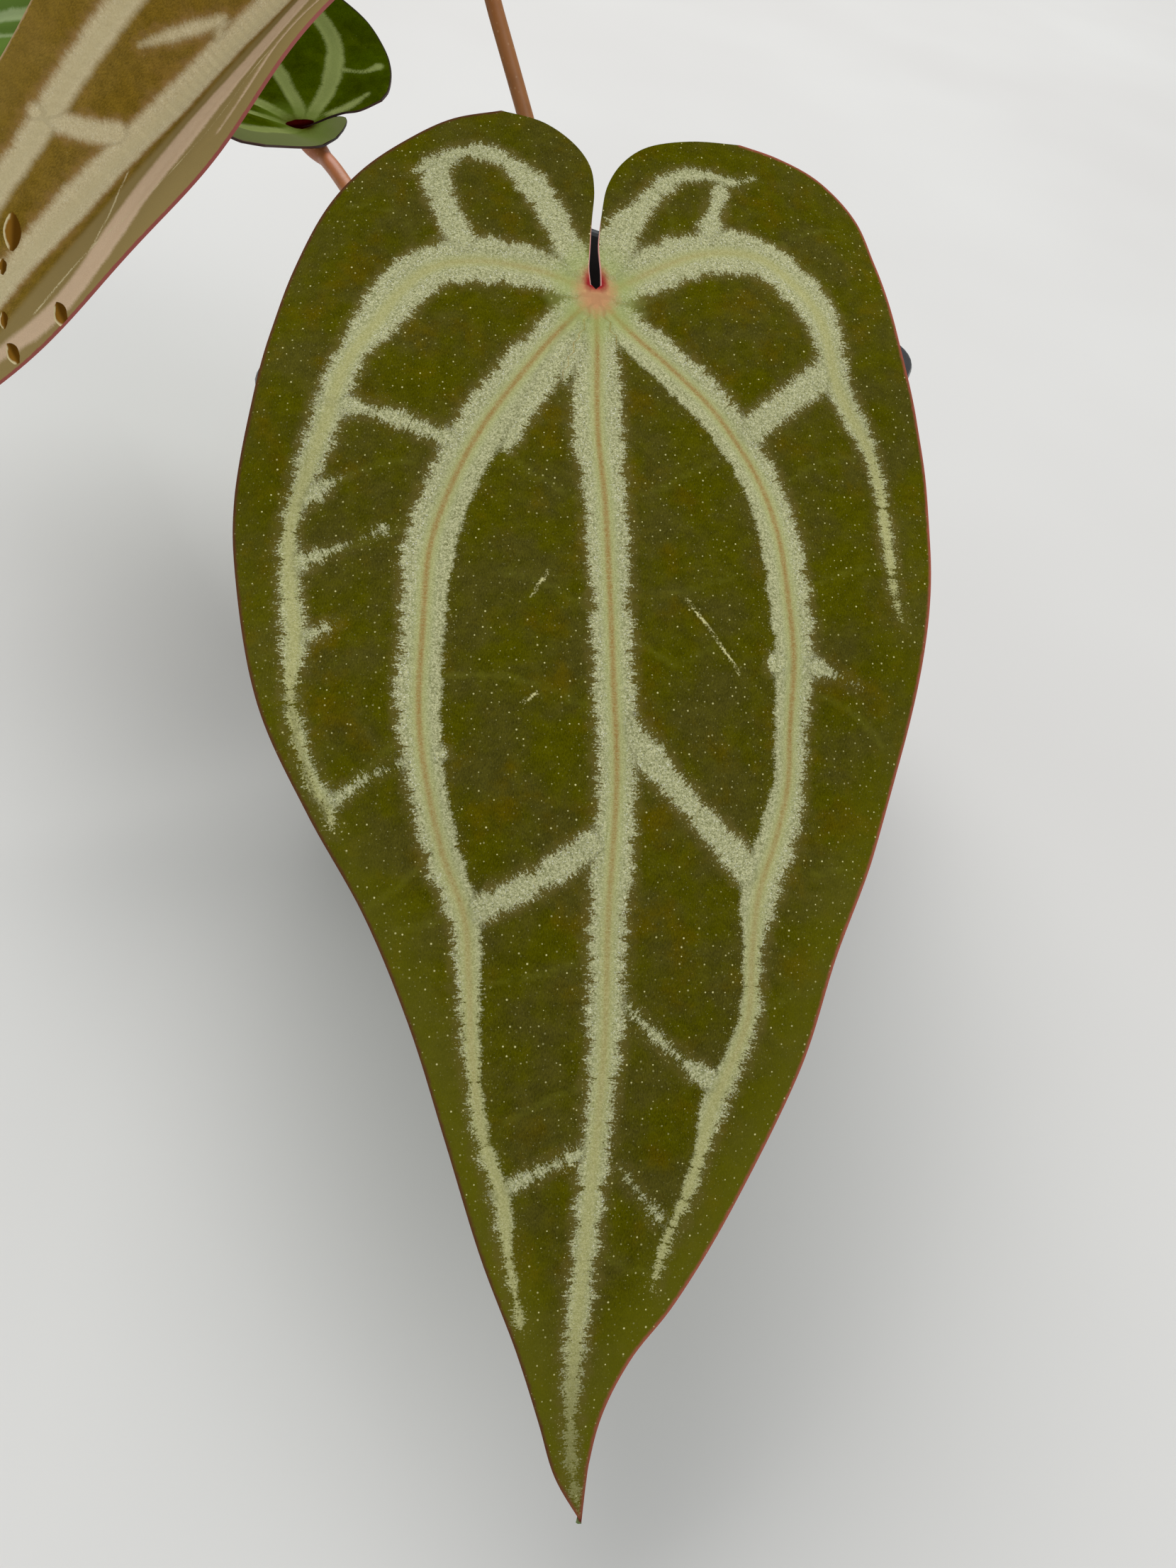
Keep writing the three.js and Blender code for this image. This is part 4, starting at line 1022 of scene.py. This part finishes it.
def makePot():
    p = potSize
    top = p["height"]
    skirt = top - p["rimDepth"]
    outer = p["rimHalf"]
    inner = outer - p["rimTop"]
    inside = lambda z: wallHalf(z) - p["wall"]
    # half width and height, up the outside, over the rim and down the inside
    profile = [
        (wallHalf(0) - 1.2, 0), (wallHalf(0.5) - 0.35, 0.4), (wallHalf(1.4), 1.4),
        (wallHalf(30), 30), (wallHalf(60), 60), (wallHalf(skirt), skirt),
        (outer - 0.5, skirt + 0.15), (outer, skirt + 0.8), (outer, top - 1.1),
        (outer - 0.35, top - 0.3), (outer - 0.9, top), (inner + 0.5, top),
        (inner - 0.2, top - 0.5), (inner - 0.6, top - 1.6), (inside(skirt), skirt - 0.5),
        (inside(60), 60), (inside(30), 30), (inside(p["floor"]), p["floor"]),
    ]
    deselectAll()
    bpy.ops.mesh.primitive_plane_add(size=2 * profile[0][0] * mm, location=(0, 0, 0))
    pot = nameNew("nursery_pot")
    bpy.ops.object.mode_set(mode="EDIT")
    bpy.ops.mesh.select_all(action="SELECT")
    corner = p["rimCorner"] * profile[0][0] / p["rimHalf"]
    bpy.ops.mesh.bevel(offset=corner * mm, segments=p["cornerSteps"], affect="VERTICES")
    bpy.ops.mesh.select_all(action="SELECT")
    raiseProfile(profile)
    bpy.ops.mesh.select_all(action="SELECT")
    bpy.ops.mesh.normals_make_consistent(inside=False)
    bpy.ops.object.mode_set(mode="OBJECT")
    for hole in range(p["drainHoles"]):
        turn = 2 * math.pi * (hole + 0.5) / p["drainHoles"]
        reach = p["drainReach"] * mm
        middle = (reach * math.cos(turn), reach * math.sin(turn), 0)
        deselectAll()
        bpy.ops.mesh.primitive_cylinder_add(vertices=28, radius=p["drainRadius"] * mm,
                                            depth=4 * p["floor"] * mm, location=middle)
        drill = bpy.context.object
        applyModifier(pot, "BOOLEAN", operation="DIFFERENCE", object=drill, solver="EXACT")
        bpy.data.objects.remove(drill)
    smoothByAngle(pot, 32)
    return pot


def potMaterial():
    material, tree, shader = newMaterial("black_plastic", 0.42, Specular_IOR_Level=0.5)
    place = addNode(tree, "ShaderNodeTexCoord").outputs["Object"]
    stretched = addNode(tree, "ShaderNodeMapping", {"Vector": place, "Scale": (1, 1, 0.12)}).outputs[0]
    flow = noise(tree, stretched, 90, 3, 0.6)
    grain = noise(tree, place, 2600, 2, 0.5)
    dust = ramp(tree, noise(tree, place, 38, 5, 0.7), 0.5, 0.8)
    tone = mixColour(tree, ramp(tree, flow, 0.3, 0.7), colour(22, 22, 25), colour(33, 34, 38))
    tone = mixColour(tree, calc(tree, "MULTIPLY", dust, 0.16), tone, colour(120, 108, 92))
    tree.links.new(tone, shader.inputs["Base Color"])
    tree.links.new(calc(tree, "MULTIPLY_ADD", dust, 0.25, 0.36), shader.inputs["Roughness"])
    addBump(tree, shader, calc(tree, "ADD", grain, calc(tree, "MULTIPLY", flow, 3)), 0.05 * mm, 0.6)
    return material


finishPiece(makePot(), [potMaterial()], ["pot"])
print("pot made")


# Potting mix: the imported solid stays, with loose chunks bedded in its surface

mixSize = {"seed": 5, "reach": 49, "crownClear": 9, "lift": 0.3}


def mixMaterial():
    material, tree, shader = newMaterial("fine_mix", 0.9, Specular_IOR_Level=0.2)
    place = addNode(tree, "ShaderNodeTexCoord").outputs["Object"]
    crumbs = cells(tree, place, 480, "Color")
    pick = addNode(tree, "ShaderNodeSeparateColor", {"Color": crumbs})
    tone = mixColour(tree, pick.outputs["Red"], colour(34, 24, 18), colour(84, 58, 38))
    tone = mixColour(tree, ramp(tree, pick.outputs["Green"], 0.9, 0.94), tone, colour(170, 160, 140))
    tree.links.new(tone, shader.inputs["Base Color"])
    rough = cells(tree, place, 480, "Distance")
    addBump(tree, shader, calc(tree, "SUBTRACT", noise(tree, place, 900, 3), rough), 0.9 * mm, 1)
    return material


def chunkMaterial(name, dark, light, grainScale, roughness):
    material, tree, shader = newMaterial(name, roughness, Specular_IOR_Level=0.25)
    place = addNode(tree, "ShaderNodeTexCoord").outputs["Object"]
    tint = readAttribute(tree, "tint")
    fibres = noise(tree, place, grainScale, 5, 0.7)
    share = calc(tree, "MULTIPLY_ADD", tint, 0.8, -0.25)
    share = calc(tree, "MULTIPLY_ADD", fibres, 0.7, share, clamp=True)
    tone = mixColour(tree, share, dark, light)
    tree.links.new(tone, shader.inputs["Base Color"])
    addBump(tree, shader, fibres, 0.4 * mm, 0.8)
    return material


# One flake of bark: a cube cut down to a rough wedge
def barkFlake(rng):
    deselectAll()
    bpy.ops.mesh.primitive_cube_add(size=1)
    flake = nameNew("flake")
    bpy.ops.object.mode_set(mode="EDIT")
    bpy.ops.mesh.select_all(action="SELECT")
    for _ in range(3):
        normal = Vector(rng.normal(size=3)).normalized()
        bpy.ops.mesh.select_all(action="SELECT")
        cut = normal * rng.uniform(0.38, 0.55)
        bpy.ops.mesh.bisect(plane_co=cut, plane_no=normal, use_fill=True, clear_outer=True)
    bpy.ops.mesh.select_all(action="SELECT")
    bpy.ops.mesh.bevel(offset=0.07, segments=1, affect="EDGES")
    bpy.ops.mesh.select_all(action="SELECT")
    bpy.ops.mesh.quads_convert_to_tris()
    bpy.ops.object.mode_set(mode="OBJECT")
    points = places(flake)
    points += rng.normal(scale=0.02, size=points.shape)
    movePlaces(flake, points)
    return flake


# One light grain, a dented ball
def mineralGrain(rng):
    deselectAll()
    bpy.ops.mesh.primitive_ico_sphere_add(subdivisions=2, radius=0.5)
    grain = nameNew("grain")
    points = places(grain)
    for _ in range(7):
        way = rng.normal(size=3)
        way /= np.linalg.norm(way)
        cut = rng.uniform(0.3, 0.46)
        over = points @ way - cut
        points -= np.outer(np.maximum(over, 0), way) * 0.9
    movePlaces(grain, points)
    return grain


# Moves a chunk that reaches past the pot's wall or corner back in
def pushInside(points):
    for _ in range(3):
        half = (wallHalf(points[:, 2] / mm) - potSize["wall"] - 0.4) * mm
        corner = half * potSize["rimCorner"] / potSize["rimHalf"]
        over = np.maximum(np.abs(points[:, :2]) - (half - corner)[:, None], 0)
        away = np.linalg.norm(over, axis=1)
        worst = (away - corner).argmax()
        if away[worst] > corner[worst]:
            step = over[worst] * (1 - corner[worst] / away[worst])
            points[:, :2] -= np.sign(points[worst, :2]) * step


# Copies of the models laid on the mix by a seeded rule, as one piece
def scatter(name, layer, rng, surface):
    models = [layer["model"](rng) for _ in range(layer["models"])]
    reach = mixSize["reach"] - layer["inset"]
    vertices, faces, tints = [], [], []
    total = 0
    while len(tints) < layer["count"]:
        x, y = rng.uniform(-reach, reach, 2)
        if math.hypot(x, y) < mixSize["crownClear"] or max(abs(x), abs(y)) > reach:
            continue
        corner = reach - potSize["rimCorner"] + 3
        overX, overY = abs(x) - corner, abs(y) - corner
        if overX > 0 and overY > 0 and math.hypot(overX, overY) > reach - corner:
            continue
        hit = surface.ray_cast(Vector((x, y, 120)) * mm, Vector((0, 0, -1)))
        if hit[0] is None:
            continue
        model = models[rng.integers(len(models))]
        size = rng.uniform(*layer["sizes"]) * mm
        long, wide = rng.uniform(0.8, 1.5), rng.uniform(0.6, 1)
        shape = np.array([long, wide, layer["flatness"] * rng.uniform(0.7, 1.3)]) * size
        leanX, leanY = rng.normal(scale=0.35), rng.normal(scale=0.35)
        tilt = Euler((leanX, leanY, rng.uniform(0, 2 * math.pi))).to_matrix()
        points = (places(model) * shape) @ np.array(tilt).T
        points += np.array(hit[0]) + np.array([0, 0, mixSize["lift"] * shape[2]])
        pushInside(points)
        vertices.append(points)
        faces += [[total + v for v in polygon.vertices] for polygon in model.data.polygons]
        tints.append(np.full(len(points), rng.uniform()))
        total += len(points)
    mesh = bpy.data.meshes.new(name)
    mesh.from_pydata(np.vstack(vertices).tolist(), [], faces)
    piece = bpy.data.objects.new(name, mesh)
    bpy.context.collection.objects.link(piece)
    storeValue(piece, "tint", np.concatenate(tints))
    for model in models:
        bpy.data.objects.remove(model)
    return piece


# what lies loose on the mix, in the order in which it is laid; inset is how far it keeps from the reach
mixLayers = {
    "bark_chips": {
        "model": barkFlake, "models": 6, "count": 430, "sizes": (4, 10), "flatness": 0.42, "inset": 4,
        "finish": ("bark", colour(46, 28, 18), colour(132, 84, 50), 700, 0.85),
    },
    "perlite_grains": {
        "model": mineralGrain, "models": 5, "count": 260, "sizes": (2, 4.6), "flatness": 0.8, "inset": 3,
        "finish": ("perlite", colour(176, 170, 156), colour(236, 234, 226), 1500, 0.95),
    },
    "bark_crumbs": {
        "model": barkFlake, "models": 3, "count": 900, "sizes": (1, 2.6), "flatness": 0.6, "inset": 2,
        "finish": ("crumb", colour(28, 20, 15), colour(96, 66, 44), 1400, 0.85),
    },
}


def makeMix():
    rng = np.random.default_rng(mixSize["seed"])
    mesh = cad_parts["potting_mix"].data
    mesh.materials.clear()
    mesh.materials.append(mixMaterial())
    corners = [vertex.co.copy() for vertex in mesh.vertices]
    surface = BVHTree.FromPolygons(corners, [tuple(polygon.vertices) for polygon in mesh.polygons])
    for name, layer in mixLayers.items():
        finishPiece(scatter(name, layer, rng, surface), [chunkMaterial(*layer["finish"])])
    print("potting mix made")


makeMix()


# Crown: the ringed stem, its roots, the bud and the papery sheaths of old leaves

crownSize = {
    "bottom": 58, "top": 80, "radius": 8, "rings": 6, "ringDepth": 0.8, "roots": 5, "rootRadius": 1.5,
    "budLength": 20, "budRadius": 2.8, "budLean": 14,
    "sheathHeight": 17, "sheathTurns": [0.3, 1.5, 3.6, 4.3, 5.5], "seed": 9,
}


def crownStem():
    c = crownSize
    step = (c["top"] - c["bottom"]) / c["rings"]
    profile = [(c["radius"] - 1.6, c["bottom"])]
    for ring in range(c["rings"]):
        z = c["bottom"] + ring * step
        profile += [(c["radius"] - c["ringDepth"], z + 0.1 * step), (c["radius"] - 0.1, z + 0.5 * step),
                    (c["radius"], z + 0.75 * step), (c["radius"] - 0.5, z + 0.92 * step)]
    profile += [(c["radius"] - 1.8, c["top"] + 0.2), (c["radius"] - 4.5, c["top"] + 1.3),
                (0.6, c["top"] + 1.9)]
    deselectAll()
    bpy.ops.mesh.primitive_circle_add(vertices=36, radius=profile[0][0] * mm, fill_type="NGON",
                                      location=(0, 0, profile[0][1] * mm))
    stem = nameNew("stem")
    bpy.ops.object.transform_apply(location=True)
    bpy.ops.object.mode_set(mode="EDIT")
    bpy.ops.mesh.select_all(action="SELECT")
    raiseProfile(profile)
    bpy.ops.mesh.select_all(action="SELECT")
    bpy.ops.mesh.normals_make_consistent(inside=False)
    bpy.ops.object.mode_set(mode="OBJECT")
    points = places(stem) / mm
    turn = np.arctan2(points[:, 1], points[:, 0])
    z = points[:, 2]
    knobbly = 1 + 0.05 * np.sin(3 * turn + 0.5 * z) + 0.03 * np.sin(7 * turn - 0.8 * z)
    points[:, :2] *= knobbly[:, None]
    movePlaces(stem, points * mm)
    return stem


def crownRoots():
    c = crownSize
    roots = []
    for i in range(c["roots"]):
        turn = math.radians(20 + 360 * i / c["roots"])
        reach = 15 + 4 * math.sin(2.4 * i + 1)
        out = lambda r, z: (r * math.cos(turn), r * math.sin(turn), z)
        route = [out(2, c["top"] - 4), out(c["radius"] + 2, c["top"] - 0.5), out(reach, c["top"] - 3.5),
                 out(reach + 3, c["top"] - 10)]
        path = smoothCurve(route, 10)
        radius = c["rootRadius"] * (1 + 0.07 * np.sin(np.arange(len(path)) * 1.3 + i))
        roots.append(rodAlong("root", path, radius))
    return roots


def crownBud():
    c = crownSize
    lean = math.radians(c["budLean"])
    way = np.array([math.sin(lean), 0, math.cos(lean)])
    foot = np.array([3, 1.5, c["top"] - 2])
    share = np.linspace(0, 1, 22)
    path = foot + share[:, None] * way * c["budLength"]
    radius = c["budRadius"] * np.clip(1.12 - share ** 2.2, 0.05, 1) * (0.9 + 0.1 * np.sin(share * 3))
    return rodAlong("crown_bud", path, radius, 5)


def crownSheath(rng, turn):
    c = crownSize
    deselectAll()
    bpy.ops.mesh.primitive_grid_add(x_subdivisions=18, y_subdivisions=22, size=1)
    sheath = nameNew("sheath")
    grid = places(sheath)
    across = grid[:, 0] * 2
    up = grid[:, 1] + 0.5
    narrow = 1 - 0.75 * up ** 1.8 + 0.05 * np.sin(across * 9 + turn) * up
    angle = turn + across * 0.75 * narrow
    radius = c["radius"] + 0.4 + 2.6 * up ** 1.5 + 0.35 * np.sin(across * 5 + up * 7 + turn)
    tall = c["sheathHeight"] * rng.uniform(0.7, 1.05)
    ragged = 1 - 0.18 * np.abs(across) * rng.uniform(0.5, 1.2)
    z = c["top"] - 9 + tall * up * ragged + 0.4 * np.sin(across * 13 + turn)
    movePlaces(sheath, np.column_stack([radius * np.cos(angle), radius * np.sin(angle), z]) * mm)
    applyModifier(sheath, "SOLIDIFY", thickness=0.3 * mm, offset=0)
    return sheath


def crownMaterial(name, dark, light, scale):
    material, tree, shader = newMaterial(name, 0.75, Specular_IOR_Level=0.3)
    place = addNode(tree, "ShaderNodeTexCoord").outputs["Object"]
    upright = addNode(tree, "ShaderNodeMapping", {"Vector": place, "Scale": (1, 1, 0.15)}).outputs[0]
    fibres = noise(tree, upright, scale, 5, 0.65)
    blotch = noise(tree, place, 240, 3, 0.6)
    tone = mixColour(tree, ramp(tree, fibres, 0.3, 0.7), dark, light)
    tone = mixColour(tree, ramp(tree, blotch, 0.45, 0.75, 0, 0.5), tone, shade(dark, 0.6))
    tree.links.new(tone, shader.inputs["Base Color"])
    addBump(tree, shader, fibres, 0.3 * mm, 0.8)
    return material


def budMaterial():
    material, tree, shader = newMaterial("bud_skin", 0.45)
    place = addNode(tree, "ShaderNodeTexCoord").outputs["Object"]
    height = addNode(tree, "ShaderNodeSeparateXYZ", {0: place}).outputs[2]
    tone = mixColour(tree, ramp(tree, height, 0.082, 0.099), colour(126, 122, 60), colour(176, 96, 70))
    blotch = ramp(tree, noise(tree, place, 420, 3), 0.4, 0.7, 0, 0.3)
    tone = mixColour(tree, blotch, tone, colour(88, 84, 42))
    tree.links.new(tone, shader.inputs["Base Color"])
    addBump(tree, shader, noise(tree, place, 900, 2), 0.1 * mm, 0.5)
    return material


def makeCrown():
    rng = np.random.default_rng(crownSize["seed"])
    stem = joinAll([crownStem()] + crownRoots(), "crown_stem")
    smoothByAngle(stem, 45)
    skin = crownMaterial("crown_skin", colour(82, 66, 40), colour(138, 116, 72), 500)
    finishPiece(stem, [skin], ["crown"])
    bud = crownBud()
    smoothByAngle(bud, 60)
    finishPiece(bud, [budMaterial()])
    sheaths = joinAll([crownSheath(rng, turn) for turn in crownSize["sheathTurns"]], "old_sheaths")
    smoothByAngle(sheaths, 60)
    dry = crownMaterial("dry_sheath", colour(96, 60, 34), colour(172, 124, 78), 900)
    finishPiece(sheaths, [dry])
    print("crown made")


makeCrown()


# Floor, light and camera

stageSet = {
    "floorSize": 8, "floorTone": colour(226, 224, 221), "skyTone": (0.96, 0.985, 1.0), "skyStrength": 0.4,
    "keyPower": 74, "keySize": 2.4, "keyPlace": (-1.5, 1.7, 2.6),
    "fillPower": 16, "fillSize": 1.8, "fillPlace": (1.6, -1.0, 1.7),
}


def floorMaterial():
    material, tree, shader = newMaterial("pale_floor", 0.8, Specular_IOR_Level=0.2)
    place = addNode(tree, "ShaderNodeTexCoord").outputs["Object"]
    cloudy = ramp(tree, noise(tree, place, 3, 3), 0.3, 0.7)
    tone = mixColour(tree, cloudy, stageSet["floorTone"], colour(232, 231, 228))
    tree.links.new(tone, shader.inputs["Base Color"])
    return material


def makeStage():
    deselectAll()
    bpy.ops.mesh.primitive_plane_add(size=stageSet["floorSize"], location=(0, 0, 0))
    floor = nameNew("floor")
    floor.data.materials.append(floorMaterial())
    bpy.context.scene.view_settings.view_transform = "Standard"
    world = bpy.data.worlds.new("soft_sky")
    bpy.context.scene.world = world
    world.use_nodes = True
    world.node_tree.nodes["Background"].inputs["Color"].default_value = (*stageSet["skyTone"], 1)
    world.node_tree.nodes["Background"].inputs["Strength"].default_value = stageSet["skyStrength"]
    for name in ("key", "fill"):
        deselectAll()
        place = Vector(stageSet[name + "Place"])
        bpy.ops.object.light_add(type="AREA", location=place)
        lamp = bpy.context.object
        lamp.name = name + "_light"
        lamp.data.size = stageSet[name + "Size"]
        lamp.data.energy = stageSet[name + "Power"]
        lamp.rotation_euler = (Vector((0, 0, 0.08)) - place).to_track_quat("-Z", "Y").to_euler()


cameraSet = {
    "place": (0.0536, -0.2004, 0.2048), "turn": 10.51, "down": 49.23, "roll": 15.12,
    "lens": 24.25,  # millimetres over a 36 mm long side
}


def makeCamera():
    c = cameraSet
    bpy.ops.object.camera_add(location=c["place"])
    camera = bpy.context.object
    turn = Matrix.Rotation(math.radians(c["turn"]), 3, "Z")
    tip = Matrix.Rotation(math.radians(90 - c["down"]), 3, "X")
    roll = Matrix.Rotation(math.radians(c["roll"]), 3, "Z")
    camera.rotation_euler = (turn @ tip @ roll).to_euler()
    camera.data.sensor_width = 36
    camera.data.lens = c["lens"]
    camera.data.clip_start = 0.005
    bpy.context.scene.camera = camera


makeStage()
makeCamera()
print("stage made")
